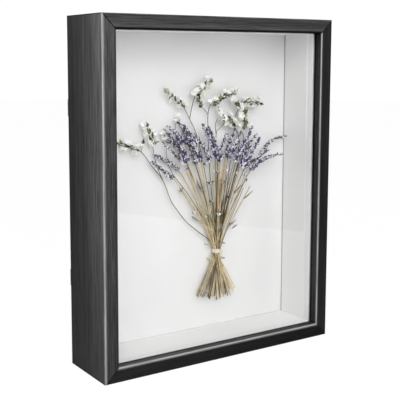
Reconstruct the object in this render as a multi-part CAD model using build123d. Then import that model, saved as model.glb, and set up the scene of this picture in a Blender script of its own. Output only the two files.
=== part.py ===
from build123d import *
from math import atan2, pi
import os

# Shadow box: a deep, rear-loading picture frame that shows a dried bouquet.
# Millimetres, +Z up, front towards -Y. The origin is the centre of the face that it stands on.

# ---------- frame ----------
outer_width = 302.0
outer_height = 378.0
frame_depth = 80.0
front_y = -frame_depth / 2
back_y = frame_depth / 2
face_width = 16.0        # front face of each rail, from the outside to the sight edge
lip_thickness = 12.0     # the part of the rail that stands in front of the glass
wall = 10.0              # rail behind the lip
outer_rounding = 1.8
sight_rounding = 1.2
mitre_groove = 0.35      # depth of the fine groove along each front mitre

# ---------- glass, liner and back, in order from the front ----------
pane_width = 279.4       # 11 x 14 inch glass
pane_height = 355.6
pane_thickness = 2.0
liner_gap = 0.25         # liner board to the rail behind it
liner_back_gap = 0.1     # liner board to the backing card
card_front_y = 26.5
card_thickness = 1.5
pin_board_thickness = 8.8
back_panel_thickness = 3.0
board_gap = 0.5          # edge of the card, board and panel to the rail
finger_notch_radius = 9.0

# ---------- corner V-nails ----------
v_nail_leg = 5.0
v_nail_thickness = 0.5
v_nail_length = 12.0
v_nail_inset = 4.0       # outside of the rail to the back of the V
v_nail_depths = (3.0, 30.0)   # from the back of the rail to the near end of each nail

# ---------- turn buttons and their screws ----------
button_length = 24.0
button_width = 9.0
button_thickness = 1.2
button_gap = 0.1         # under and over the button
button_dimple_radius = 2.0
button_dimple_height = 0.7
button_dimple_reach = 13.5   # pivot to the pressed dimple
short_rail_button_x = 75.0   # middle of the rail to each pivot
long_rail_button_x = 100.0
screw_shank_radius = 1.45
screw_running_clearance = 0.06
screw_thread_radius = 1.2
screw_thread_length = 11.0
screw_head_radius = 3.0
screw_head_height = 1.6
cross_slot_length = 3.4
cross_slot_width = 0.8
cross_slot_depth = 0.9
screw_reach = button_gap + button_thickness + button_gap

# ---------- sawtooth hangers and their nails ----------
hanger_length = 45.0
hanger_width = 8.0
hanger_thickness = 0.8
hanger_rise = 2.0        # room for the head of a wall nail
hanger_bridge = 22.0     # the raised middle
hanger_ramp = 2.5
tooth_pitch = 2.2
tooth_depth = 1.2
tooth_count = 9
hanger_nail_x = 18.5
hanger_nail_radius = 0.7
hanger_nail_length = 9.0
hanger_nail_head_radius = 1.7
hanger_nail_head_height = 0.6

# ---------- bouquet ----------
tie_x = 30.0
tie_z = 107.0
tie_height = 5.0
twine = 1.1
tie_slack = 0.1
stem_radius = 0.8
knuckle = 1.08           # a ball at a bend, as a share of the rod's radius
stem_pitch = 1.8         # stem to stem across the tie
layer_pitch = 1.9        # layer to layer through the tie
bundle_y = 21.3
spike_radius = 2.5
spike_shoulder = 3.0     # taper at each end of a spike
layer_y = (18.8, 13.6, 8.4)   # lavender spikes: back, middle and front layer
cut_end_z = 50.0
cut_end_pitch = 7.2      # stem to stem along the cut ends
cut_end_stagger = 3.0

# Each lavender spike: x and z of its base, then x and z of its tip.
lavender = (
    (-33, 201, -60, 222),
    (-24, 207, -56, 226),
    (-25, 218, -43, 238),
    (-17, 220, -37, 257),
    (-9, 228, -22, 259),
    (4, 226, -14, 256),
    (13, 214, -2, 247),
    (23, 222, 12, 256),
    (32, 216, 30, 250),
    (40, 213, 44, 246),
    (45, 219, 54, 250),
    (55, 216, 66, 247),
    (59, 222, 79, 249),
    (66, 218, 87, 242),
    (69, 207, 90, 234),
    (74, 205, 102, 223),
    (97, 225, 130, 238),
    (80, 203, 122, 217),
)

# Each white statice spray: its stem from above the tie, its side twigs, and the flowers' places.
statice_y = 22.0
statice_radius = 0.7
twig_radius = 0.5
flower_radius = 3.6
flower_height = 6.5
flower_lean = 35.0       # degrees, away from the middle of the bunch
statice = (
    dict(stem=((4, 133), (-24, 160), (-46, 200), (-72, 232)), twigs=(),
         flowers=((-72, 232), (-84, 236), (-95, 240), (-104, 244))),
    dict(stem=((-40, 207), (-57, 232), (-66, 255)), twigs=(),
         flowers=((-66, 255), (-76, 251))),
    dict(stem=((-38, 232), (-42, 243)), twigs=(),
         flowers=((-42, 243),)),
    dict(stem=((3, 243), (-8, 265), (-22, 288)), twigs=(((-8, 265), (0, 290), (12, 304)),),
         flowers=((-22, 288), (-34, 295), (12, 304), (22, 306))),
    dict(stem=((17, 254), (18, 272), (34, 288)), twigs=(((17, 262), (4, 279)),),
         flowers=((34, 288), (46, 291), (4, 279))),
    dict(stem=((30, 245), (37, 262)), twigs=(),
         flowers=((37, 262),)),
    dict(stem=((64, 244), (68, 265), (76, 282)), twigs=(((66, 254), (55, 271)),),
         flowers=((76, 282), (86, 284), (55, 271))),
)

# ---------- wire pins over the stems ----------
pin_wire_radius = 0.5
pin_grip = 10.4          # face of the card to the bridge
pin_leg_in_board = 6.0
pins_over_stems = (      # height of each pin, then the x of its two legs
    (tie_z + 9.0, tie_x - 12.5, tie_x + 10.0),
    (tie_z - 9.0, tie_x - 9.5, tie_x + 9.5),
)

middle_z = outer_height / 2
card_back_y = card_front_y + card_thickness
board_back_y = card_back_y + pin_board_thickness
pane_front_y = front_y + lip_thickness
pane_back_y = pane_front_y + pane_thickness

# Each rail lies along X with its outside on Z = 0, and is turned about Y into its place.
# The ends name its two turn buttons, from -X to +X in the rail's own place.
rails = {
    "bottom": dict(
        place=Pos(0, 0, 0),
        length=outer_width, button_x=short_rail_button_x, ends=("left", "right")),
    "left": dict(
        place=Pos(-outer_width / 2, 0, middle_z) * Rot(0, 90, 0),
        length=outer_height, button_x=long_rail_button_x, ends=("upper", "lower")),
    "top": dict(
        place=Pos(0, 0, outer_height) * Rot(0, 180, 0),
        length=outer_width, button_x=short_rail_button_x, ends=("right", "left")),
    "right": dict(
        place=Pos(outer_width / 2, 0, middle_z) * Rot(0, -90, 0),
        length=outer_height, button_x=long_rail_button_x, ends=("lower", "upper")),
}
hanger_rails = ("top", "right")


def slab(width, height, near_y, far_y):
    """A flat board, centred in the frame, between two depths."""
    return Pos(0, (near_y + far_y) / 2, middle_z) * Box(width, far_y - near_y, height)


def rod(points, radius):
    """A round rod through the points, with a slightly thicker ball where it turns."""
    pieces = []
    for start, end in zip(points, points[1:]):
        run = Vector(*end) - Vector(*start)
        place = Plane(origin=start, z_dir=run)
        pieces.append(place * Cylinder(radius, run.length, align=(Align.CENTER, Align.CENTER, Align.MIN)))
    for point in points[1:-1]:
        pieces.append(Pos(*point) * Sphere(radius * knuckle))
    return pieces[0].fuse(*pieces[1:]) if len(pieces) > 1 else pieces[0]


# ---------- rails and their fixings, each in its rail's own place ----------
def blank_rail(length):
    """One L-section rail with rounded front edges and 45 degree mitres."""
    section = Polygon(
        (front_y, 0), (back_y, 0), (back_y, wall), (front_y + lip_thickness, wall),
        (front_y + lip_thickness, face_width), (front_y, face_width), align=None)
    outer = section.vertices().sort_by(Axis.Y)[:2]
    section = fillet(outer, outer_rounding)
    sight = section.vertices().filter_by_position(Axis.X, front_y - 0.01, front_y + 0.01)
    section = fillet(sight.sort_by(Axis.Y)[-1], sight_rounding)
    bar = extrude(Plane.YZ * section, length / 2, both=True)
    half = length / 2
    outline = Polygon((-half, 0), (half, 0), (half - face_width, face_width),
                      (face_width - half, face_width), align=None)
    rail = bar & extrude(Plane.XZ * outline, frame_depth, both=True)
    groove_side = mitre_groove * 2 ** 0.5
    for end in (-1, 1):
        groove = Box(4 * face_width, groove_side, groove_side)
        rail -= Pos(end * half, front_y, 0) * Rot(0, 45 * end, 0) * Rot(45, 0, 0) * groove
    return rail


def hole(radius, depth):
    """What a drill takes out along -Y from Y = 0."""
    return Rot(90, 0, 0) * Cylinder(radius, depth, align=(Align.CENTER, Align.CENTER, Align.MIN))


def corner_v_nails(length):
    """The V-nails at both ends of a rail, half in this rail and half in its neighbour."""
    near = v_nail_inset
    far = v_nail_inset + v_nail_leg
    skin = v_nail_inset + v_nail_thickness
    vee = Polygon((near, near), (far, near), (far, skin), (skin, skin), (skin, far), (near, far),
                  align=None)
    nails = []
    for depth in v_nail_depths:
        nail = extrude(Plane.XZ * vee, v_nail_length)
        nail = Pos(-length / 2, back_y - depth, 0) * nail
        nails += [nail, nail.mirror(Plane.YZ)]
    return nails


def screw():
    """A pan-head screw, driven along -Y, with the back of the rail at Y = 0."""
    along = Rot(90, 0, 0)
    base = (Align.CENTER, Align.CENTER, Align.MIN)
    thread = along * Cylinder(screw_thread_radius, screw_thread_length, align=base)
    shank = Pos(0, screw_reach, 0) * along * Cylinder(screw_shank_radius, screw_reach, align=base)
    head = Cylinder(screw_head_radius, screw_head_height, align=base)
    head = fillet(head.edges().sort_by(Axis.Z)[-1], screw_head_height * 0.6)
    for turn in (0, 90):
        slot = Box(cross_slot_length, cross_slot_width, cross_slot_depth * 2)
        head -= Pos(0, 0, screw_head_height) * Rot(0, 0, turn) * slot
    return thread + shank + Pos(0, screw_reach, 0) * Rot(-90, 0, 0) * head


def turn_button(towards):
    """A flat button on its pivot, parked along the rail; towards is +1 or -1 along X."""
    plate = Sketch() + Pos((button_length - button_width) / 2, 0) * SlotOverall(button_length, button_width)
    plate -= Circle(screw_shank_radius + screw_running_clearance)
    body = extrude(plate, button_thickness)
    rim = body.edges().group_by(Axis.Z)[-1].filter_by(
        lambda edge: edge.length > 2 * pi * screw_head_radius / 2)
    body = fillet(rim, button_thickness / 4)
    dimple = Pos(button_dimple_reach, 0, button_thickness) * Cylinder(
        button_dimple_radius, button_dimple_height, align=(Align.CENTER, Align.CENTER, Align.MIN))
    dimple = fillet(dimple.edges().sort_by(Axis.Z)[-1], button_dimple_height * 0.8)
    body += dimple
    body = Rot(-90, 0, 0) * body
    if towards < 0:
        body = Rot(0, 180, 0) * body
    return Pos(0, button_gap, 0) * body


def sawtooth_hanger():
    """A hanger on the back of the rail (Y = 0), its teeth towards the middle of the box (+Z)."""
    end = hanger_length / 2
    rise_start = hanger_bridge / 2 + hanger_ramp
    rise_end = hanger_bridge / 2
    top = hanger_rise + hanger_thickness
    side = Polygon(
        (-end, 0), (-rise_start, 0), (-rise_end, hanger_rise), (rise_end, hanger_rise),
        (rise_start, 0), (end, 0), (end, hanger_thickness),
        (rise_start - hanger_thickness / 3, hanger_thickness), (rise_end - hanger_thickness / 3, top),
        (hanger_thickness / 3 - rise_end, top),
        (hanger_thickness / 3 - rise_start, hanger_thickness), (-end, hanger_thickness), align=None)
    strip = extrude(side, hanger_width)
    for index in range(tooth_count):
        x = (index - (tooth_count - 1) / 2) * tooth_pitch
        notch = Polygon((x - tooth_pitch / 2, hanger_width), (x + tooth_pitch / 2, hanger_width),
                        (x, hanger_width - tooth_depth), align=None)
        strip -= extrude(Plane.XZ * notch, 2 * top, both=True)
    for x in (-hanger_nail_x, hanger_nail_x):
        strip -= Pos(x, 0, hanger_width / 2) * Rot(90, 0, 0) * Cylinder(hanger_nail_radius, 2 * top)
    return Pos(0, 0, (wall - hanger_width) / 2) * strip


def hanger_nail():
    """A small nail through a hanger's end, with the back of the rail at Y = 0."""
    base = (Align.CENTER, Align.CENTER, Align.MIN)
    length = hanger_nail_length + hanger_thickness
    shank = Pos(0, hanger_thickness, 0) * Rot(90, 0, 0) * Cylinder(hanger_nail_radius, length, align=base)
    head = Cylinder(hanger_nail_head_radius, hanger_nail_head_height, align=base)
    head = fillet(head.edges().sort_by(Axis.Z)[-1], hanger_nail_head_height / 2)
    return shank + Pos(0, hanger_thickness, 0) * Rot(-90, 0, 0) * head


def liner_strip(side):
    """One white liner board; the top and bottom boards run over the ends of the side boards."""
    if side in ("bottom", "top"):
        length = outer_width - 2 * (wall + liner_gap)
    else:
        length = outer_height - 2 * (face_width + liner_back_gap)
    far_y = card_front_y - liner_back_gap
    depth = far_y - pane_back_y
    thickness = face_width - wall - liner_gap
    return Pos(0, (pane_back_y + far_y) / 2, face_width - thickness / 2) * Box(length, depth, thickness)


# ---------- back assembly ----------
def back_board(near_y, far_y):
    """A board that fills the opening behind the liner."""
    opening_width = outer_width - 2 * (wall + board_gap)
    opening_height = outer_height - 2 * (wall + board_gap)
    return slab(opening_width, opening_height, near_y, far_y)


def wire_pin(z, left, right):
    """A U-shaped wire pin: two legs into the board and a bridge over the stems."""
    bridge_y = card_front_y - pin_grip
    tip_y = card_back_y + pin_leg_in_board
    return rod(((left, tip_y, z), (left, bridge_y, z), (right, bridge_y, z), (right, tip_y, z)),
               pin_wire_radius)


# ---------- bouquet ----------
def angle_from_tie(x, z):
    return atan2(x - tie_x, z - tie_z)


def through_tie(slot, y):
    """The straight stretch of one stem through the twine: its lower and its upper end."""
    x = tie_x + slot * stem_pitch
    half = tie_height / 2 + 0.5
    return (x, y, tie_z - half), (x, y, tie_z + half)


def spike_solid(base, tip):
    """One lavender spike: a slim barrel from its flat base to its blunt tip."""
    axis = Vector(*tip) - Vector(*base)
    length = axis.length
    outline = Polyline((0, 0), (stem_radius, 0), (spike_radius, spike_shoulder),
                       (spike_radius * 0.8, length - spike_shoulder), (stem_radius, length), (0, length),
                       close=True)
    barrel = revolve(Plane.XZ * make_face(outline), Axis.Z)
    return Plane(origin=base, z_dir=axis) * barrel


def lavender_solids():
    """Stems and spikes, dealt into three layers so that neighbours lie side by side."""
    ordered = sorted(lavender, key=lambda row: angle_from_tie(row[0], row[1]))
    layers = len(layer_y)
    per_layer = len(ordered) / layers
    stems = []
    spikes = []
    for index, (base_x, base_z, tip_x, tip_z) in enumerate(ordered):
        layer = index % layers
        slot = index // layers - (per_layer - 1) / 2
        base = (base_x, layer_y[layer], base_z)
        tip = (tip_x, layer_y[layer], tip_z)
        through = bundle_y + layer_pitch * (layers / 2 - 1 - layer)
        cut_end = (tie_x + slot * cut_end_pitch, through, cut_end_z + cut_end_stagger * (index % 2))
        spike = spike_solid(base, tip)
        stems.append(rod((cut_end, *through_tie(slot, through), base), stem_radius) - spike)
        spikes.append(spike)
    return stems, spikes


def flower_solid(x, z, lean):
    """One papery flower: a small trumpet, wide end up."""
    base = (Align.CENTER, Align.CENTER, Align.MIN)
    trumpet = Cone(statice_radius, flower_radius, flower_height, align=base)
    return Pos(x, statice_y, z) * Rot(0, lean, 0) * trumpet


def statice_solids():
    """The statice lies in its own layer, behind the lavender."""
    stems = []
    flowers = []
    through = bundle_y + layer_pitch * len(layer_y) / 2
    for index, spray in enumerate(statice):
        slot = index - (len(statice) - 1) / 2
        cut_end = (tie_x + slot * cut_end_pitch, through, cut_end_z + cut_end_stagger / 2)
        above = tuple((x, statice_y, z) for x, z in spray["stem"])
        stem = rod((cut_end, *through_tie(slot, through), *above), statice_radius)
        for twig in spray["twigs"]:
            stem += rod(tuple((x, statice_y, z) for x, z in twig), twig_radius)
        lean = flower_lean if spray["stem"][-1][0] > tie_x else -flower_lean
        for x, z in spray["flowers"]:
            flower = flower_solid(x, z, lean)
            stem -= flower
            flowers.append(flower)
        stems.append(stem)
    return stems, flowers


def twine_ring():
    """The twine wound round the stems at the tie."""
    width = stem_pitch * (len(statice) - 1) + 2 * (stem_radius + tie_slack)
    depth = layer_pitch * len(layer_y) + 2 * (stem_radius + tie_slack)
    ring = RectangleRounded(width + 2 * twine, depth + 2 * twine, stem_radius + twine)
    ring -= RectangleRounded(width, depth, stem_radius)
    band = extrude(ring, tie_height / 2, both=True)
    return Pos(tie_x, bundle_y, tie_z) * band


# ---------- build and write ----------
os.makedirs("parts", exist_ok=True)
nodes = {}
v_nails = []
screws = []
hanger_nails = []

for side, plan in rails.items():
    place = plan["place"]
    rail = blank_rail(plan["length"])
    corner_nails = corner_v_nails(plan["length"])
    for nail in corner_nails:
        rail -= nail
    if side in ("bottom", "top"):
        v_nails += [place * nail for nail in corner_nails]

    for towards, end in zip((1, -1), plan["ends"]):
        pivot = Pos(-towards * plan["button_x"], back_y, wall / 2)
        rail -= pivot * hole(screw_thread_radius, screw_thread_length)
        nodes[f"turn_button_{side}_{end}"] = place * pivot * turn_button(towards)
        screws.append(place * pivot * screw())

    if side in hanger_rails:
        back_edge = Pos(0, back_y, 0)
        nodes[f"sawtooth_hanger_{side}"] = place * back_edge * sawtooth_hanger()
        for x in (-hanger_nail_x, hanger_nail_x):
            spot = back_edge * Pos(x, 0, wall / 2)
            rail -= spot * hole(hanger_nail_radius, hanger_nail_length)
            hanger_nails.append(place * spot * hanger_nail())

    nodes[f"rail_{side}"] = place * rail
    nodes[f"liner_{side}"] = place * liner_strip(side)

nodes["corner_v_nails"] = Compound(children=v_nails)
nodes["turn_button_screws"] = Compound(children=screws)
nodes["hanger_nails"] = Compound(children=hanger_nails)
nodes["glass_pane"] = slab(pane_width, pane_height, pane_front_y, pane_back_y)

pins = [wire_pin(*places) for places in pins_over_stems]
card = back_board(card_front_y, card_back_y)
board = back_board(card_back_y, board_back_y)
for pin in pins:
    card -= pin
    board -= pin
panel = back_board(board_back_y, board_back_y + back_panel_thickness)
notch = Pos(0, board_back_y, wall + board_gap) * Rot(90, 0, 0) * Cylinder(finger_notch_radius, frame_depth)
panel -= notch
nodes["backing_card"] = card
nodes["pin_board"] = board
nodes["back_panel"] = panel
nodes["bouquet_pins"] = Compound(children=pins)

lavender_stems, lavender_spikes = lavender_solids()
statice_stems, statice_flowers = statice_solids()
nodes["lavender_stems"] = Compound(children=lavender_stems)
nodes["lavender_spikes"] = Compound(children=lavender_spikes)
nodes["statice_stems"] = Compound(children=statice_stems)
nodes["statice_flowers"] = Compound(children=statice_flowers)
nodes["bouquet_tie"] = twine_ring()

for name, shape in nodes.items():
    export_step(shape, f"parts/{name}.step")
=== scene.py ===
"""Shadow box with a tied bunch of dried lavender and white statice.

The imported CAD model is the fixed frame. This script gives every CAD piece its finish, replaces the plain
stems, flower heads and tie with the real bouquet, and adds the camera, the lights and the floor.
Lengths are metres in the frame's own axes: X to the right, Y from the front to the back, Z up.
The bouquet's own layout is written in millimetres from the frame's middle line and foot, as a florist
would mark it on the card, and is turned into metres by OnCard.at().
"""

import logging
import math
from collections.abc import Sequence
from dataclasses import dataclass, field
from enum import Enum

import bpy
import numpy as np
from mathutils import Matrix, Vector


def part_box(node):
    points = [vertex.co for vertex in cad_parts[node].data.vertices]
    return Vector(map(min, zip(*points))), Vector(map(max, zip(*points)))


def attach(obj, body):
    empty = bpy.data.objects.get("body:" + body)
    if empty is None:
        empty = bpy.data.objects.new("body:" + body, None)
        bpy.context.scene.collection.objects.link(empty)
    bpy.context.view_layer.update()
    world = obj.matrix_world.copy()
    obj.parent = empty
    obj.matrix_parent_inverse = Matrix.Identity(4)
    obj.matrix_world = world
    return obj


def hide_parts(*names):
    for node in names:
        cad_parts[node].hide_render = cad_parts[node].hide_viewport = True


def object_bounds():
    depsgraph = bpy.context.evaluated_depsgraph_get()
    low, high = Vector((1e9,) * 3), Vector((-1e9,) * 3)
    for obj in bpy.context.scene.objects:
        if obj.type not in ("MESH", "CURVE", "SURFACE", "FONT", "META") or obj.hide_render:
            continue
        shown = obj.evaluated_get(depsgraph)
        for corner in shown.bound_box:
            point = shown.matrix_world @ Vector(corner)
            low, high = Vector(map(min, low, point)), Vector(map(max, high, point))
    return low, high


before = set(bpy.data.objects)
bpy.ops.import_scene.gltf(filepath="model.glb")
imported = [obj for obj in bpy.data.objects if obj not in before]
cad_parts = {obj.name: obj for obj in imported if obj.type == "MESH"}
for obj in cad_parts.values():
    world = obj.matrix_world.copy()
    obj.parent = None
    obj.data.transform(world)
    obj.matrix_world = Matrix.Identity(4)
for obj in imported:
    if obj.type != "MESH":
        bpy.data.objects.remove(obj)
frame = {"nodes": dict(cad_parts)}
CAD_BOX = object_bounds()

log = logging.getLogger("shadow_box")

MM = 0.001
NOISE_SPAN = (0.3, 0.7)
Socket = bpy.types.NodeSocket
Value = Socket | float
Colour = tuple[float, float, float]
Place = tuple[float, float]


class Axis(Enum):
    """A direction of the frame's axes."""

    X = 0
    Y = 1
    Z = 2


class Layer(Enum):
    """How far in front of the card a stem or head lies, in millimetres."""

    BACK = 6.5
    MIDDLE = 11.0
    FRONT = 15.5


# ---------------------------------------------------------------- surfaces


@dataclass
class Surface:
    """Points and faces of one piece, with numbers marked on each point for its finish.

    Attributes:
        points: One row of x, y, z for each point.
        quads: One row of four point numbers for each four-sided face.
        triangles: One row of three point numbers for each three-sided face.
        marks: Named numbers, one for each point.
    """

    points: np.ndarray
    quads: np.ndarray
    triangles: np.ndarray
    marks: dict[str, np.ndarray] = field(default_factory=dict)


def join_surfaces(surfaces: Sequence[Surface]) -> Surface:
    """Joins surfaces that carry the same marks, renumbering each one's faces after those before it.

    Args:
        surfaces: The surfaces to join.

    Returns:
        One surface with all their points and faces.
    """
    starts = np.cumsum([0] + [len(s.points) for s in surfaces[:-1]])
    return Surface(
        points=np.concatenate([s.points for s in surfaces]),
        quads=np.concatenate([s.quads + start for s, start in zip(surfaces, starts)]),
        triangles=np.concatenate([s.triangles + start for s, start in zip(surfaces, starts)]),
        marks={name: np.concatenate([s.marks[name] for s in surfaces]) for name in surfaces[0].marks},
    )


def unit(vectors: np.ndarray) -> np.ndarray:
    """Scales vectors to length one."""
    return vectors / np.maximum(np.linalg.norm(vectors, axis=-1, keepdims=True), 1e-12)


def smooth_path(knots: np.ndarray, rows: int) -> np.ndarray:
    """Carries a smooth line through knots.

    Between two knots the line is the cubic whose ends and slopes match theirs, and a knot's slope is half
    the step from the knot before it to the one after.

    Args:
        knots: The knots, shape (..., knots, 3).
        rows: How many points the line gets.

    Returns:
        The line's points, shape (..., rows, 3).
    """
    slopes = np.gradient(knots, axis=-2)
    along = np.linspace(0.0, knots.shape[-2] - 1.0, rows)
    cell = np.minimum(along.astype(int), knots.shape[-2] - 2)
    t = (along - cell)[:, None]
    before, after = knots[..., cell, :], knots[..., cell + 1, :]
    leaving, arriving = slopes[..., cell, :], slopes[..., cell + 1, :]
    return (
        before * (2 * t**3 - 3 * t**2 + 1)
        + leaving * (t**3 - 2 * t**2 + t)
        + after * (3 * t**2 - 2 * t**3)
        + arriving * (t**3 - t**2)
    )


def path_axes(path: np.ndarray, across: Sequence[float]) -> tuple[np.ndarray, np.ndarray, np.ndarray]:
    """Gives each point of a path its own three axes.

    Args:
        path: Points, shape (..., rows, 3).
        across: A direction that the path never follows.

    Returns:
        Unit vectors along the path, to its side, and at right angles to both.
    """
    ahead = unit(np.gradient(path, axis=-2))
    side = unit(np.cross(ahead, np.array(across, float)))
    return ahead, side, np.cross(ahead, side)


def tube_rings(
    path: np.ndarray, radius: np.ndarray, sides: int, across: Sequence[float] = (0.0, 1.0, 0.0)
) -> np.ndarray:
    """Puts a ring of points round every point of a path.

    A ring point is the centre plus radius times (cosine of its angle times side plus sine times up).

    Args:
        path: Centres, shape (..., rows, 3).
        radius: Ring radii in metres, broadcast to (..., rows, sides).
        sides: Points in a ring.
        across: A direction that the path never follows.

    Returns:
        The rings, shape (..., rows, sides, 3).
    """
    _, side, up = path_axes(path, across)
    angle = np.arange(sides) * (2 * math.pi / sides)
    outward = (
        np.cos(angle)[:, None] * side[..., None, :] + np.sin(angle)[:, None] * up[..., None, :]
    )
    radius = np.broadcast_to(radius, path.shape[:-1] + (sides,))
    return path[..., None, :] + radius[..., None] * outward


def turned_rings(profile: np.ndarray, sides: int) -> np.ndarray:
    """Turns a profile of (radius, height) rows about Z.

    A point is (radius cos a, radius sin a, height).

    Args:
        profile: Rows of radius and height.
        sides: Points in a ring.

    Returns:
        The rings, shape (rows, sides, 3).
    """
    angle = np.arange(sides) * (2 * math.pi / sides)
    radius, height = profile[:, 0, None], profile[:, 1, None]
    return np.stack(
        [radius * np.cos(angle), radius * np.sin(angle), height + 0.0 * angle], axis=-1
    )


def skin_rings(rings: np.ndarray, **marks: np.ndarray) -> Surface:
    """Closes stacks of rings into solid skins: quads between rings and a fan over each end.

    Args:
        rings: Shape (count, rows, sides, 3), with ring angle turning from side to up.
        marks: Numbers for the finish, broadcast to (count, rows, sides).

    Returns:
        The closed surface, its faces outward.
    """
    count, rows, sides, _ = rings.shape
    poles = rings[:, [0, -1]].mean(axis=2)
    points = np.concatenate([rings.reshape(count, rows * sides, 3), poles], axis=1)
    row, side = np.indices((rows - 1, sides)).reshape(2, -1)
    after = (side + 1) % sides
    quads = np.stack(
        [
            row * sides + side,
            row * sides + after,
            (row + 1) * sides + after,
            (row + 1) * sides + side,
        ],
        axis=1,
    )
    side = np.arange(sides)
    after = (side + 1) % sides
    top = (rows - 1) * sides
    foot_fan = np.stack([np.full(sides, rows * sides), after, side], axis=1)
    head_fan = np.stack([np.full(sides, rows * sides + 1), top + side, top + after], axis=1)
    triangles = np.concatenate([foot_fan, head_fan])
    first = np.arange(count)[:, None, None] * points.shape[1]
    spread = {}
    for name, value in marks.items():
        full = np.broadcast_to(value, (count, rows, sides))
        ends = full[:, [0, -1]].mean(axis=2)
        spread[name] = np.concatenate([full.reshape(count, -1), ends], axis=1).ravel()
    return Surface(
        points.reshape(-1, 3),
        (quads + first).reshape(-1, 4),
        (triangles + first).reshape(-1, 3),
        spread,
    )


def ranks(values: np.ndarray) -> np.ndarray:
    """Spreads values evenly from -1 for the least to 1 for the greatest, in their order of size."""
    return np.argsort(np.argsort(values)) / (len(values) - 1) * 2 - 1


def aim(direction: np.ndarray, roll: np.ndarray) -> np.ndarray:
    """Gives rotations that carry Z onto directions.

    Args:
        direction: Directions, shape (count, 3).
        roll: Turn about each direction, in radians.

    Returns:
        Rotation matrices, shape (count, 3, 3).
    """
    ahead = unit(direction)
    steep = np.abs(ahead[:, 1:2]) > 0.9
    helper = np.where(steep, np.array([1.0, 0.0, 0.0]), np.array([0.0, 1.0, 0.0]))
    side = unit(np.cross(helper, ahead))
    up = np.cross(ahead, side)
    cosine, sine = np.cos(roll)[:, None], np.sin(roll)[:, None]
    return np.stack([cosine * side + sine * up, cosine * up - sine * side, ahead], axis=-1)


def place_copies(
    rings: np.ndarray, direction: np.ndarray, roll: np.ndarray, size: np.ndarray, place: np.ndarray
) -> np.ndarray:
    """Copies one shape to many places: each point is turned, scaled and moved.

    Args:
        rings: The shape's rings, its foot at the origin and its axis along Z.
        direction: Where each copy points, shape (count, 3).
        roll: Each copy's turn about its axis, in radians.
        size: Each copy's scale in width, depth and height, shape (count, 3).
        place: Each copy's foot, shape (count, 3).

    Returns:
        Rings of every copy, shape (count, rows, sides, 3).
    """
    turn = aim(direction, roll) * size[:, None, :]
    return np.einsum("nij,rsj->nrsi", turn, rings) + place[:, None, None, :]


def make_piece(
    name: str,
    surface: Surface,
    finish: bpy.types.Material,
    body: str,
    stands_for: Sequence[str] = (),
) -> bpy.types.Object:
    """Puts a surface into a Blender object and ties it to the frame.

    Args:
        name: The piece's name.
        surface: Its points, faces and marks.
        finish: Its material.
        body: The CAD body it moves with.
        stands_for: CAD nodes that it stands for.

    Returns:
        The new object.
    """
    corners = np.concatenate([surface.quads.ravel(), surface.triangles.ravel()])
    sizes = np.concatenate([np.full(len(surface.quads), 4), np.full(len(surface.triangles), 3)])
    mesh = bpy.data.meshes.new(name)
    mesh.vertices.add(len(surface.points))
    mesh.loops.add(len(corners))
    mesh.polygons.add(len(sizes))
    mesh.vertices.foreach_set("co", surface.points.astype(np.float32).ravel())
    mesh.loops.foreach_set("vertex_index", corners.astype(np.int32))
    mesh.polygons.foreach_set("loop_start", (np.cumsum(sizes) - sizes).astype(np.int32))
    mesh.polygons.foreach_set("use_smooth", np.ones(len(sizes), bool))
    for mark, values in surface.marks.items():
        attribute = mesh.attributes.new(mark, "FLOAT", "POINT")
        attribute.data.foreach_set("value", values.astype(np.float32))
    mesh.update(calc_edges=True)
    mesh.materials.append(finish)
    piece = bpy.data.objects.new(name, mesh)
    bpy.context.scene.collection.objects.link(piece)
    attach(piece, body)
    if stands_for:
        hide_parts(*stands_for)
    log.info("%s: %d points, %d faces", name, len(surface.points), len(sizes))
    return piece


# ---------------------------------------------------------------- finishes


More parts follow.
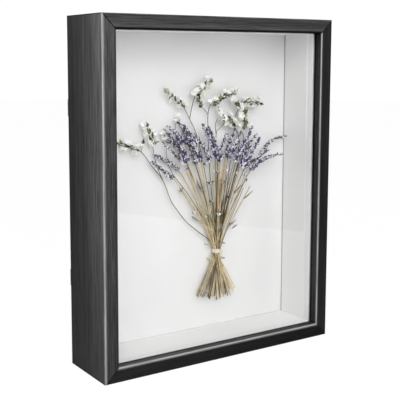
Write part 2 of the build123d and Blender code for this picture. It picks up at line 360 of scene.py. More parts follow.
class ShaderTree:
    """A material's nodes. Each method adds nodes and returns the socket that carries their result."""

    def __init__(self, name: str) -> None:
        """Starts an empty material.

        Args:
            name: The material's name.
        """
        self.material = bpy.data.materials.new(name)
        self.material.use_nodes = True
        self.tree = self.material.node_tree
        self.tree.nodes.clear()

    def feed(self, socket: Socket, value: Value | Sequence[float]) -> None:
        """Links a socket to another one, or sets it to a number or a colour.

        Args:
            socket: The socket to fill.
            value: What goes into it.
        """
        if isinstance(value, bpy.types.NodeSocket):
            self.tree.links.new(value, socket)
        elif isinstance(value, (int, float)):
            socket.default_value = float(value)
        else:
            wanted = len(socket.default_value)
            socket.default_value = (tuple(value) + (1.0,))[:wanted]

    def node(self, kind: str, **inputs: Value | Sequence[float]) -> bpy.types.Node:
        """Adds a node and fills its named inputs.

        Args:
            kind: Blender's name for the node.
            inputs: What goes into each input, with underscores for the spaces in its name.

        Returns:
            The node.
        """
        made = self.tree.nodes.new(kind)
        for name, value in inputs.items():
            self.feed(made.inputs[name.replace("_", " ")], value)
        return made

    def place(self) -> Socket:
        """The point's place in the frame."""
        return self.tree.nodes.new("ShaderNodeTexCoord").outputs["Object"]

    def mark(self, name: str) -> Socket:
        """A number marked on the piece's points."""
        made = self.tree.nodes.new("ShaderNodeAttribute")
        made.attribute_name = name
        return made.outputs["Fac"]

    def place_parts(self) -> bpy.types.bpy_prop_collection:
        """The X, Y and Z of the point's place in the frame."""
        return self.node("ShaderNodeSeparateXYZ", Vector=self.place()).outputs

    def stretch(self, scale: Sequence[float]) -> Socket:
        """The point's place, scaled along each axis."""
        return self.node("ShaderNodeMapping", Vector=self.place(), Scale=scale).outputs[0]

    def noise(self, vector: Socket, scale: float, detail: float = 3.0, rough: float = 0.55) -> Socket:
        """Cloudy noise from 0 to 1.

        Args:
            vector: Where it is read.
            scale: How many clouds to a metre of the vector.
            detail: Octaves of finer noise.
            rough: How strong the finer octaves are.

        Returns:
            The noise.
        """
        made = self.node(
            "ShaderNodeTexNoise", Vector=vector, Scale=scale, Detail=detail, Roughness=rough
        )
        return made.outputs["Fac"]

    def cells(self, vector: Socket, scale: float) -> Socket:
        """Distance to the nearest of scattered points."""
        return self.node("ShaderNodeTexVoronoi", Vector=vector, Scale=scale).outputs["Distance"]

    def math(self, operation: str, first: Value, second: Value = 0.0) -> Socket:
        """One sum, as the Math node does it."""
        made = self.tree.nodes.new("ShaderNodeMath")
        made.operation = operation
        self.feed(made.inputs[0], first)
        self.feed(made.inputs[1], second)
        return made.outputs[0]

    def times(self, first: Value, second: Value) -> Socket:
        """The product of two numbers."""
        return self.math("MULTIPLY", first, second)

    def plus(self, first: Value, second: Value) -> Socket:
        """The sum of two numbers."""
        return self.math("ADD", first, second)

    def minus(self, first: Value, second: Value) -> Socket:
        """The first number less the second."""
        return self.math("SUBTRACT", first, second)

    def weigh(self, *terms: tuple[Value, float]) -> Socket:
        """Adds up numbers, each times its weight.

        Args:
            terms: Pairs of a number and its weight.

        Returns:
            The weighted sum.
        """
        total = self.times(*terms[0])
        for term in terms[1:]:
            total = self.plus(total, self.times(*term))
        return total

    def rough(self, noise: Socket, low: float, high: float) -> Socket:
        """A roughness that goes from low to high as a noise crosses the values it mostly takes."""
        return self.span(noise, *NOISE_SPAN, low, high)

    def span(self, value: Value, low: float, high: float, start: float = 0.0, end: float = 1.0) -> Socket:
        """Maps the span low..high onto start..end with soft ends.

        Args:
            value: The number to map.
            low: What becomes start.
            high: What becomes end.
            start: The result at low and below.
            end: The result at high and above.

        Returns:
            The mapped number.
        """
        made = self.tree.nodes.new("ShaderNodeMapRange")
        made.interpolation_type = "SMOOTHSTEP"
        for name, number in (
            ("Value", value),
            ("From Min", low),
            ("From Max", high),
            ("To Min", start),
            ("To Max", end),
        ):
            self.feed(made.inputs[name], number)
        return made.outputs["Result"]

    def slope(self, value: Value, start: float, end: float) -> Socket:
        """Goes evenly from 0 at start to 1 at end, and stays there beyond them."""
        made = self.tree.nodes.new("ShaderNodeMapRange")
        for name, number in (("Value", value), ("From Min", start), ("From Max", end)):
            self.feed(made.inputs[name], number)
        return made.outputs["Result"]

    def blend(self, share: Value, first: Socket | Colour, second: Socket | Colour) -> Socket:
        """Mixes two colours.

        Args:
            share: 0 for the first, 1 for the second.
            first: A colour.
            second: A colour.

        Returns:
            The mixed colour.
        """
        made = self.tree.nodes.new("ShaderNodeMix")
        made.data_type = "RGBA"
        self.feed(made.inputs[0], share)
        self.feed(made.inputs[6], first)
        self.feed(made.inputs[7], second)
        return made.outputs[2]

    def shade(self, colour: Socket, by: Value) -> Socket:
        """Multiplies a colour by a number."""
        made = self.tree.nodes.new("ShaderNodeVectorMath")
        made.operation = "SCALE"
        self.feed(made.inputs[0], colour)
        self.feed(made.inputs["Scale"], by)
        return made.outputs[0]

    def normal_parts(self) -> tuple[Socket, Socket, Socket]:
        """The sizes of the surface normal's X, Y and Z parts."""
        normal = self.tree.nodes.new("ShaderNodeNewGeometry").outputs["Normal"]
        made = self.node("ShaderNodeSeparateXYZ", Vector=normal)
        x, y, z = (self.math("ABSOLUTE", part) for part in made.outputs)
        return x, y, z

    def bump(self, height: Value, depth: float, strength: float = 1.0) -> Socket:
        """Turns a height from 0 to 1 into a bumped normal.

        Args:
            height: The height.
            depth: How deep 1 is, in metres.
            strength: How much of it shows.

        Returns:
            The normal.
        """
        made = self.node("ShaderNodeBump", Height=height, Distance=depth, Strength=strength)
        return made.outputs["Normal"]

    def principled(self, **inputs: Value | Sequence[float]) -> Socket:
        """A Principled shader with its named inputs filled."""
        return self.node("ShaderNodeBsdfPrincipled", **inputs).outputs[0]

    def mix_shaders(self, share: Value, first: Socket, second: Socket) -> Socket:
        """Mixes two shaders.

        Args:
            share: 0 for the first, 1 for the second.
            first: A shader.
            second: A shader.

        Returns:
            The mixed shader.
        """
        made = self.tree.nodes.new("ShaderNodeMixShader")
        for socket, value in zip(made.inputs, (share, first, second)):
            self.feed(socket, value)
        return made.outputs[0]

    def coat(self, **inputs: Value | Sequence[float]) -> bpy.types.Material:
        """The finished material of one Principled shader with its named inputs filled."""
        return self.finish(self.principled(**inputs))

    def finish(self, shader: Socket) -> bpy.types.Material:
        """Joins a shader to the output and gives the finished material."""
        output = self.tree.nodes.new("ShaderNodeOutputMaterial")
        self.tree.links.new(shader, output.inputs["Surface"])
        return self.material


@dataclass(frozen=True)
class BlackWood:
    """Black-stained open-grain moulding: long streaks, fine pores, and paler edges, partly scuffing and
    partly painted highlight.

    Each rail's front is painted its own brightness: painted light on the left and top rails, painted shade on
    the right and bottom ones. The outer sides carry painted light, paler towards the front, and painted shade
    near the foot. Stain has pooled in the mitres, and a painted shade darkens the wood against the glass.

    Attributes:
        name: The material's name.
        grain: The axis the grain runs along.
        tone: How bright this rail's front is painted, as painted light or shade.
        lip_painted_light: How bright the narrow face round the opening is painted, as painted light or shade.
        painted_light_fade: What its painted brightness is multiplied by at its low end and at its high end, a
            painted fall-off of the light.
        outer_wear_and_highlight: How strongly its outer front edge is paled, partly scuffing and partly a
            painted highlight.
        sight_wear_and_highlight: How strongly the edge round the opening is paled, partly scuffing and partly
            a painted highlight.
        sight_painted_shade: What is left of the tone in the painted shadow line along the opening, 1 for no
            line.
        rabbet: From where to where along Y the painted shade against the glass deepens.
        dark: The stain in the pores.
        light: The stain on the ridges.
        wear_and_highlight_colour: The colour of the paler edges, scuffing and painted highlight in one.
        streak_pitch: Width of a fine streak.
        streak_length: Length of a fine streak.
        pore_depth: Depth of the pores.
        side_painted_light: How bright the outer sides are painted, a painted light.
        face_width: Width of the front face.
        outer_reach: How far the paler outer edge reaches.
        sight_reach: How far the paler edge round the opening reaches.
        side_edge: How far in from the outer side the side's painted light stops, and where it is at its full.
        lip_edge: How far short of the face's inner edge the lip's tone starts, and where it is at its full.
        sight_painted_shade_line: The same for the painted shadow line along the opening.
        mitre_line: How far from the joint the mitre's dark line starts to lift, and where it is gone.
        mitre_tone: What is left of the tone in a mitre.
        rabbet_painted_shade_tone: What is left of the tone in the painted shade against the glass.
        foot_painted_shade_reach: Up to what height the outer sides are painted darker near the foot, a
            painted shade.
        foot_painted_shade: What is left of their tone at the foot in that painted shade.
    """

    name: str
    grain: Axis
    tone: float = 1.0
    lip_painted_light: float = 1.0
    outer_wear_and_highlight: float = 0.1
    sight_wear_and_highlight: float = 0.1
    sight_painted_shade: float = 1.0
    rabbet: Place = (-0.0320, -0.0308)
    painted_light_fade: Place = (1.0, 1.0)
    dark: Colour = (0.0110, 0.0110, 0.0113)
    light: Colour = (0.0400, 0.0397, 0.0402)
    wear_and_highlight_colour: Colour = (0.6200, 0.6180, 0.6130)
    streak_pitch: float = 0.0008
    streak_length: float = 0.045
    pore_depth: float = 0.00012
    side_painted_light: float = 2.10
    face_width: float = 0.016
    outer_reach: float = 0.0034
    sight_reach: float = 0.0026
    side_edge: Place = (0.0012, 0.0006)
    lip_edge: Place = (0.0006, 0.0002)
    sight_painted_shade_line: Place = (0.0030, 0.0018)
    mitre_line: Place = (0.0006, 0.0012)
    mitre_tone: float = 0.10
    rabbet_painted_shade_tone: float = 0.05
    foot_painted_shade_reach: float = 0.22
    foot_painted_shade: float = 0.40

    def stretched(self, tree: ShaderTree, pitch: float, length: float) -> Socket:
        """Places scaled so that one cloud of noise is pitch wide and length long along the grain."""
        scale = [1.0 / pitch] * 3
        scale[self.grain.value] = 1.0 / length
        return tree.stretch(scale)

    def stain_and_painted_light(
        self, tree: ShaderTree, across: Socket, up: Socket, depth: Socket, height: Socket
    ) -> Socket:
        """How bright the wood is painted from place to place, as stain and as painted light and shade.

        The front has the rail's tone and the narrow face round the opening its lip tone, both painted light
        or shade, both times a painted gradient that goes evenly from one end of the grain to the other. The
        outer sides have their own painted light, times 0.15 plus 0.8 t plus the cube of t, where t goes from
        0 at the back to 1 at the front, and they are painted darker near the foot. It falls to a twentieth
        against the glass, a painted shade, and to a tenth in a mitre, the stain there.

        Args:
            tree: The material's nodes.
            across: Distance in from the left or right outer side.
            up: Distance in from the top or bottom outer side.
            depth: Distance back from the front.
            height: Height above the foot.

        Returns:
            The factor.
        """
        inward = tree.math("MINIMUM", across, up)
        outer = tree.span(inward, *self.side_edge)
        # Painted light on the outer sides: paler towards the front, and painted shade near the foot.
        forward = tree.slope(depth, float(CAD_BOX[1][1] - CAD_BOX[0][1]), 0.0)
        painted_side_light_factor = tree.plus(tree.times(forward, 0.8), tree.math("POWER", forward, 3.0))
        painted_side_light_factor = tree.times(tree.plus(painted_side_light_factor, 0.15), self.side_painted_light)
        painted_side_light_factor = tree.times(painted_side_light_factor, tree.span(height, 0.0, self.foot_painted_shade_reach, self.foot_painted_shade, 1.0))
        # The front's tone and lip tone, times the gradient along the rail, are painted light and shade.
        start, end = (self.face_width - short for short in self.lip_edge)
        lip = tree.span(inward, start, end, self.tone, self.lip_painted_light)
        place = tree.place_parts()[self.grain.value]
        start, end = (float(corner[self.grain.value]) for corner in CAD_BOX)
        along = tree.times(tree.slope(place, start, end), self.painted_light_fade[1] - self.painted_light_fade[0])
        lip = tree.times(lip, tree.plus(along, self.painted_light_fade[0]))
        pale = tree.plus(lip, tree.times(tree.minus(painted_side_light_factor, lip), outer))
        # Painted shade where the wood meets the glass; the mitre's dark line below is the stain in the joint.
        start, end = (edge - float(CAD_BOX[0][1]) for edge in self.rabbet)
        painted_rabbet_shade = tree.times(tree.span(depth, start, end), tree.span(outer, 1.0, 0.0))
        mitre = tree.math("ABSOLUTE", tree.minus(across, up))
        mitre_stain_and_rabbet_shade = tree.span(mitre, *self.mitre_line, self.mitre_tone, 1.0)
        mitre_stain_and_rabbet_shade = tree.times(mitre_stain_and_rabbet_shade, tree.span(painted_rabbet_shade, 0.0, 1.0, 1.0, self.rabbet_painted_shade_tone))
        return tree.times(pale, mitre_stain_and_rabbet_shade)

    def wear_and_highlight(self, tree: ShaderTree, across: Socket, up: Socket, depth: Socket) -> Socket:
        """How pale the edges are, scuffing and painted highlight: the square of closeness to the outer or the
        opening's edge.

        Args:
            tree: The material's nodes.
            across: Distance in from the left or right outer side.
            up: Distance in from the top or bottom outer side.
            depth: Distance back from the front.

        Returns:
            The share of the paler edge colour.
        """
        inward = tree.math("MINIMUM", across, up)
        arris = tree.slope(tree.math("MAXIMUM", inward, depth), self.outer_reach, 0.0)
        arris = tree.times(tree.times(arris, arris), self.outer_wear_and_highlight)
        opening = tree.math("ABSOLUTE", tree.minus(inward, self.face_width))
        sight = tree.slope(tree.math("MAXIMUM", opening, depth), self.sight_reach, 0.0)
        sight = tree.times(tree.times(sight, sight), self.sight_wear_and_highlight)
        return tree.math("MAXIMUM", arris, sight)

    def make(self) -> bpy.types.Material:
        """Makes the material.

        Returns:
            The finished material.
        """
        tree = ShaderTree(self.name)
        low, high = CAD_BOX
        place = tree.place_parts()
        across = tree.minus(float(high[0]), tree.math("ABSOLUTE", place["X"]))
        half = float(high[2] - low[2]) / 2
        up = tree.math("ABSOLUTE", tree.minus(place["Z"], float(low[2]) + half))
        up = tree.minus(half, up)
        depth = tree.minus(place["Y"], float(low[1]))
        height = tree.minus(place["Z"], float(low[2]))
        fine = tree.noise(self.stretched(tree, self.streak_pitch, self.streak_length), 1.0, 4.0, 0.62)
        broad = tree.noise(self.stretched(tree, 0.006, 0.30), 1.0, 3.0)
        pores = tree.noise(self.stretched(tree, 0.00055, 0.012), 1.0, 2.0)
        pore = tree.span(pores, 0.30, 0.44)
        tone = tree.weigh((fine, 0.70), (broad, 0.30))
        colour = tree.blend(tree.span(tone, 0.36, 0.64), self.dark, self.light)
        colour = tree.shade(colour, tree.span(pore, 0.0, 1.0, 0.60, 1.0))
        colour = tree.shade(colour, self.stain_and_painted_light(tree, across, up, depth, height))
        # Paler edges, partly scuffing and partly painted highlights set rail by rail where the light catches
        # them.
        wear_and_highlight_share = tree.span(fine, 0.30, 0.62, 0.55, 1.0)
        wear_and_highlight_share = tree.times(wear_and_highlight_share, self.wear_and_highlight(tree, across, up, depth))
        colour = tree.blend(wear_and_highlight_share, colour, self.wear_and_highlight_colour)
        # A painted shadow line along the opening.
        inward = tree.math("MINIMUM", across, up)
        start, end = (self.face_width - short for short in self.sight_painted_shade_line)
        edge = tree.span(inward, start, end, 1.0, self.sight_painted_shade)
        colour = tree.shade(colour, edge)
        relief = tree.weigh((pore, 0.6), (fine, 0.8))
        return tree.coat(
            Base_Color=colour,
            Roughness=tree.rough(tone, 0.56, 0.42),
            Normal=tree.bump(relief, self.pore_depth, 0.8),
            Specular_IOR_Level=0.10,
        )


@dataclass(frozen=True)
class CardPaper:
    """Uncoated white card: a faint tooth and fibres.

    Attributes:
        name: The material's name.
        white: Its clean colour.
        shadow: Its colour in the hollows of the tooth.
        tooth: Depth of the tooth.
        painted_shade_line: From where to where along Y the back edge is painted darker, a painted shade where
            a liner meets the card, if it is.
        painted_shade_tone: How dark that painted shade is.
    """

    name: str
    white: Colour = (0.870, 0.870, 0.866)
    shadow: Colour = (0.815, 0.815, 0.812)
    tooth: float = 0.00003
    painted_shade_line: Place | None = None
    painted_shade_tone: float = 0.75

    def make(self) -> bpy.types.Material:
        """Makes the material.

        Returns:
            The finished material.
        """
        tree = ShaderTree(self.name)
        tooth = tree.noise(tree.place(), 1900.0, 3.0)
        fibre = tree.noise(tree.stretch((260.0, 260.0, 900.0)), 1.0, 3.0)
        cloud = tree.noise(tree.place(), 14.0, 2.0)
        tone = tree.weigh((tooth, 0.45), (fibre, 0.30), (cloud, 0.25))
        colour = tree.blend(tree.span(tone, 0.36, 0.60), self.shadow, self.white)
        # Painted shade along the back edge, where a liner meets the card.
        if self.painted_shade_line:
            depth = tree.place_parts()["Y"]
            colour = tree.shade(colour, tree.span(depth, *self.painted_shade_line, 1.0, self.painted_shade_tone))
        return tree.coat(
            Base_Color=colour,
            Roughness=tree.rough(fibre, 0.90, 0.78),
            Normal=tree.bump(tooth, self.tooth, 0.5),
            Specular_IOR_Level=0.35,
        )


@dataclass(frozen=True)
class FoamCore:
    """Foam board: paper on its two faces and beaded foam at its edges."""

    name: str = "foam_core"
    paper: Colour = (0.84, 0.84, 0.83)
    foam: Colour = (0.78, 0.79, 0.80)

    def make(self) -> bpy.types.Material:
        """Makes the material.

        Returns:
            The finished material.
        """
        tree = ShaderTree(self.name)
        _, facing, _ = tree.normal_parts()
        face = tree.span(facing, 0.4, 0.6)
        beads = tree.cells(tree.place(), 1300.0)
        tooth = tree.noise(tree.place(), 1700.0)
        foam = tree.blend(tree.span(beads, 0.2, 0.8), self.foam, (0.66, 0.67, 0.69))
        paper = tree.blend(tree.span(tooth, 0.3, 0.7), self.paper, (0.79, 0.79, 0.78))
        height = tree.times(beads, tree.minus(1.0, face))
        return tree.coat(
            Base_Color=tree.blend(face, foam, paper),
            Roughness=tree.rough(tooth, 0.75, 0.9),
            Normal=tree.bump(height, 0.0003, 0.7),
        )


@dataclass(frozen=True)
class Hardboard:
    """Pressed wood-fibre board: brown, with pale and dark fibres and specks."""

    name: str = "hardboard"
    fibre_dark: Colour = (0.135, 0.072, 0.036)
    fibre_light: Colour = (0.285, 0.170, 0.092)

    def make(self) -> bpy.types.Material:
        """Makes the material.

        Returns:
            The finished material.
        """
        tree = ShaderTree(self.name)
        bent = tree.noise(tree.place(), 55.0, 2.0)
        fibre = tree.noise(tree.stretch((420.0, 900.0, 1500.0)), 1.0, 5.0, 0.7)
        speck = tree.cells(tree.stretch((700.0, 700.0, 900.0)), 1.0)
        tone = tree.weigh((fibre, 0.75), (bent, 0.25))
        colour = tree.blend(tree.span(tone, 0.35, 0.65), self.fibre_dark, self.fibre_light)
        colour = tree.blend(tree.span(speck, 0.16, 0.08), colour, (0.40, 0.27, 0.16))
        return tree.coat(
            Base_Color=colour,
            Roughness=tree.rough(fibre, 0.82, 0.55),
            Normal=tree.bump(fibre, 0.00008, 0.8),
        )


@dataclass(frozen=True)
class ClearGlass:
    """Picture glass: clear, with a reflection that grows as the view gets flatter, and a trace of dust.

    Only the face towards the light mirrors; the far face passes it on.

    Attributes:
        name: The material's name.
        tint: What passes through.
        gloss: How bright a reflection is.
    """

    name: str = "clear_glass"
    tint: Colour = (0.992, 0.993, 0.993)
    gloss: Colour = (1.0, 1.0, 1.0)

    def make(self) -> bpy.types.Material:
        """Makes the material.

        Returns:
            The finished material.
        """
        tree = ShaderTree(self.name)
        smear = tree.noise(tree.stretch((9.0, 9.0, 5.0)), 1.0, 3.0)
        through = tree.node("ShaderNodeBsdfTransparent", Color=self.tint).outputs[0]
        mirror = tree.node(
            "ShaderNodeBsdfGlossy", Color=self.gloss, Roughness=tree.span(smear, 0.4, 0.7, 0.004, 0.03)
        ).outputs[0]
        share = tree.node("ShaderNodeFresnel", IOR=1.55).outputs[0]
        near_face = tree.minus(1.0, tree.node("ShaderNodeNewGeometry").outputs["Backfacing"])
        return tree.finish(tree.mix_shaders(tree.times(share, near_face), through, mirror))


@dataclass(frozen=True)
class PlatedSteel:
    """Small plated hardware: fine brushing and dulled patches.

    Attributes:
        name: The material's name.
        bright: The clean metal.
        dull: The tarnished metal.
        brushing: The axis the brushing runs along.
        smooth: Roughness of the clean metal.
    """

    name: str
    bright: Colour
    dull: Colour
    brushing: Axis = Axis.X
    smooth: float = 0.24

    def make(self) -> bpy.types.Material:
        """Makes the material.

        Returns:
            The finished material.
        """
        tree = ShaderTree(self.name)
        scale = [4200.0] * 3
        scale[self.brushing.value] = 160.0
        brushed = tree.noise(tree.stretch(scale), 1.0, 3.0)
        patch = tree.noise(tree.place(), 210.0, 4.0)
        tarnish = tree.span(patch, 0.48, 0.72)
        clean = tree.rough(brushed, self.smooth, self.smooth + 0.12)
        rough = tree.plus(clean, tree.times(tarnish, 0.15))
        return tree.coat(
            Base_Color=tree.blend(tarnish, self.bright, self.dull),
            Metallic=1.0,
            Roughness=rough,
            Normal=tree.bump(brushed, 0.00001, 0.5),
        )


@dataclass(frozen=True)
class LacqueredWire:
    """Florist's pin wire in straw-coloured lacquer, scuffed here and there."""

    name: str = "pin_lacquer"
    lacquer: Colour = (0.40, 0.31, 0.15)
    bare: Colour = (0.58, 0.52, 0.38)

    def make(self) -> bpy.types.Material:
        """Makes the material.

        Returns:
            The finished material.
        """
        tree = ShaderTree(self.name)
        chips = tree.noise(tree.place(), 900.0, 4.0)
        return tree.coat(
            Base_Color=tree.blend(tree.span(chips, 0.62, 0.70), self.lacquer, self.bare),
            Roughness=tree.rough(chips, 0.30, 0.55),
            Normal=tree.bump(chips, 0.00002, 0.5),
        )


@dataclass(frozen=True)
class DriedStem:
    """Dried stalks: lengthwise fibres, each stalk its own tone from straw to dark, greener towards the head.

    The marks read are tint (a random number for the stalk) and rise (0 at the foot, 1 at the head).

    Attributes:
        name: The material's name.
        straw: The palest tone.
        brown: The darkest tone.
        green: The tone near the head.
        greening: How far the tone near the head takes over.
    """

    name: str
    straw: Colour
    brown: Colour
    green: Colour
    greening: float

    def make(self) -> bpy.types.Material:
        """Makes the material.

        Returns:
            The finished material.
        """
        tree = ShaderTree(self.name)
        fibre = tree.noise(tree.stretch((2200.0, 2200.0, 120.0)), 1.0, 3.0, 0.6)
        blotch = tree.noise(tree.place(), 150.0, 3.0)
        tone = tree.weigh((fibre, 0.5), (blotch, 0.35), (tree.mark("tint"), 0.45))
        colour = tree.blend(tree.span(tone, 0.50, 0.86), self.brown, self.straw)
        rise = tree.times(tree.span(tree.mark("rise"), 0.40, 0.95), self.greening)
        colour = tree.blend(rise, colour, self.green)
        return tree.coat(
            Base_Color=colour,
            Roughness=tree.rough(fibre, 0.72, 0.5),
            Normal=tree.bump(fibre, 0.00012, 0.8),
        )


@dataclass(frozen=True)
class DriedBloom:
    """Small dried flower parts, shaded from foot to mouth and each of its own tone.

    The marks read are tint (a random number for the part), along (0 at its foot, 1 at its mouth) and
    depth (how strong its head's colour is).

    Attributes:
        name: The material's name.
        foot: The colour at the foot.
        mouth: The colour at the mouth.
        strong: The colour at the mouth where the head's colour is strong.
        pale: The colour of the faded parts.
        fuzz: The strength of the fine down.
    """

    name: str
    foot: Colour
    mouth: Colour
    strong: Colour
    pale: Colour
    fuzz: float = 0.3

    def make(self) -> bpy.types.Material:
        """Makes the material.

        Returns:
            The finished material.
        """
        tree = ShaderTree(self.name)
        grain = tree.noise(tree.place(), 1400.0, 3.0, 0.6)
        along = tree.plus(tree.mark("along"), tree.times(grain, 0.25))
        mouth = tree.blend(tree.mark("depth"), self.mouth, self.strong)
        colour = tree.blend(tree.span(along, 0.10, 0.75), self.foot, mouth)
        faded = tree.plus(tree.mark("tint"), tree.times(grain, 0.4))
        colour = tree.blend(tree.span(faded, 0.58, 1.02), colour, self.pale)
        return tree.coat(
            Base_Color=colour,
            Roughness=tree.rough(grain, 0.85, 0.65),
            Normal=tree.bump(grain, 0.00015, 0.7),
            Sheen_Weight=self.fuzz,
            Sheen_Roughness=0.4,
        )


@dataclass(frozen=True)
class CottonTwine:
    """Cream cotton string: plied strands, seen by the mark ply, with soft hairs and painted shade between the
    plies.
    """

    name: str = "cotton_twine"
    cream: Colour = (0.94, 0.89, 0.77)
    painted_ply_shade: Colour = (0.64, 0.56, 0.42)

    def make(self) -> bpy.types.Material:
        """Makes the material.

        Returns:
            The finished material.
        """
        tree = ShaderTree(self.name)
        hairs = tree.noise(tree.place(), 2600.0, 4.0, 0.7)
        # Painted shade between the plies.
        ply = tree.span(tree.mark("ply"), 0.1, 0.8)
        tone = tree.weigh((ply, 0.75), (hairs, 0.35))
        return tree.coat(
            Base_Color=tree.blend(tree.span(tone, 0.15, 0.80), self.painted_ply_shade, self.cream),
            Roughness=tree.rough(hairs, 0.95, 0.8),
            Normal=tree.bump(hairs, 0.0001, 0.6),
            Sheen_Weight=0.3,
        )


# ---------------------------------------------------------------- the CAD pieces


@dataclass
class CadFinisher:
    """Gives finishes to CAD pieces, whose shapes are right as they are."""

    nodes: dict[str, bpy.types.Object]

    def dress(self, finish: bpy.types.Material, *names: str) -> None:
        """Puts one finish on some CAD nodes.

        Args:
            finish: The material.
            names: The nodes.
        """
        for name in names:
            piece = self.nodes[name]
            piece.data.materials.clear()
            piece.data.materials.append(finish)
            log.info("%s wears %s", name, finish.name)


@dataclass
class Moulding:
    """The four mitred rails of black wood, each with a grain that runs its own length and its own painted
    light or shade.
    """

    rails: dict[str, BlackWood] = field(
        default_factory=lambda: {
            # Painted light and shade in each rail's numbers: the left and top rails lit, the right and bottom
            # ones shaded, the top rail's lip and opening edge in painted shadow.
            "rail_left": BlackWood(
                "black_wood_left", Axis.Z, 1.90, 1.2, 0.80, 0.0, 0.60, painted_light_fade=(0.62, 1.50)
            ),
            "rail_right": BlackWood("black_wood_right", Axis.Z, 0.44, 0.95, 0.06, 1.0),
            "rail_top": BlackWood(
                "black_wood_top",
                Axis.X,
                tone=1.95,
                lip_painted_light=0.1,
                outer_wear_and_highlight=0.0,
                sight_wear_and_highlight=0.10,
                sight_painted_shade=0.03,
                sight_reach=0.013,
                rabbet=(-0.0398, -0.0390),
                painted_light_fade=(0.90, 0.75),
            ),
            "rail_bottom": BlackWood(
                "black_wood_bottom", Axis.X, 0.22, 1.10, 0.0, 1.0, sight_reach=0.0034, painted_light_fade=(1.9, 0.5)
            ),
        }
    )

    def dress(self, finisher: CadFinisher) -> None:
        """Gives each rail its wood."""
        for rail, wood in self.rails.items():
            finisher.dress(wood.make(), rail)


@dataclass
class Lining:
    """The glass, the white liners and the layers of the back."""

    # The liners get a painted shade line where they meet the card, darker on the right liner.
    liner: CardPaper = CardPaper("liner_card", painted_shade_line=(0.0245, 0.0258))
    right_liner: CardPaper = CardPaper("right_liner_card", painted_shade_line=(0.0243, 0.0255), painted_shade_tone=0.40)
    card: CardPaper = CardPaper("backing_card")
    core: FoamCore = FoamCore()
    panel: Hardboard = Hardboard()
    glass: ClearGlass = ClearGlass()

    def dress(self, finisher: CadFinisher) -> None:
        """Gives each sheet its finish."""
        finisher.dress(self.liner.make(), "liner_top", "liner_bottom", "liner_left")
        finisher.dress(self.right_liner.make(), "liner_right")
        finisher.dress(self.card.make(), "backing_card")
        finisher.dress(self.core.make(), "pin_board")
        finisher.dress(self.panel.make(), "back_panel")
        finisher.dress(self.glass.make(), "glass_pane")


@dataclass
class Hardware:
    """The turn buttons, screws, hangers, nails and pins."""

    nickel: tuple[Colour, Colour] = ((0.66, 0.64, 0.60), (0.42, 0.40, 0.37))
    brass: tuple[Colour, Colour] = ((0.80, 0.61, 0.30), (0.47, 0.33, 0.15))
    steel: tuple[Colour, Colour] = ((0.60, 0.60, 0.61), (0.36, 0.35, 0.35))
    wire: LacqueredWire = LacqueredWire()

    def dress(self, finisher: CadFinisher) -> None:
        """Gives each piece of hardware its metal, brushed along its length."""
        level = PlatedSteel("nickel_level", *self.nickel, Axis.X).make()
        upright = PlatedSteel("nickel_upright", *self.nickel, Axis.Z).make()
        buttons = [name for name in finisher.nodes if name.startswith("turn_button_")]
        buttons.remove("turn_button_screws")
        short = [name for name in buttons if "_top_" in name or "_bottom_" in name]
        finisher.dress(level, *short)
        finisher.dress(upright, *(name for name in buttons if name not in short))
        brass = PlatedSteel("brassed_steel", *self.brass, Axis.X, 0.3).make()
        finisher.dress(brass, "sawtooth_hanger_top", "sawtooth_hanger_right")
        steel = PlatedSteel("bright_steel", *self.steel, Axis.Y, 0.28).make()
        finisher.dress(steel, "turn_button_screws", "hanger_nails", "corner_v_nails")
        finisher.dress(self.wire.make(), "bouquet_pins")


# ---------------------------------------------------------------- lavender


@dataclass
class OnCard:
    """A part of the bouquet, laid out in millimetres on the card.

    Attributes:
        card_face: The card's front face along Y.
    """

    card_face: float

    def at(
        self, x: np.ndarray | float, z: np.ndarray | float, in_front: np.ndarray | float
    ) -> np.ndarray:
        """Turns places marked on the card into points.

        Args:
            x: Millimetres to the right of the middle line.
            z: Millimetres above the frame's foot.
            in_front: Millimetres in front of the card.

        Returns:
            The points in metres, with x, y, z along the last axis.
        """
        return np.stack([x * MM, self.card_face - in_front * MM, z * MM], axis=-1)


@dataclass(frozen=True)
class Head:
    """One lavender flower head.

    Attributes:
        root: Where it starts on the card.
        tip: Where it ends on the card.
        layer: How far in front of the card it lies.
        bow: Millimetres its middle stands above the straight line.
        fullness: Size of its calyces, 1 for a full head.
        strength: How strong its violet is, from 0 to 1.
    """

    root: Place
    tip: Place
    layer: Layer
    bow: float = 0.0
    fullness: float = 1.0
    strength: float = 0.5


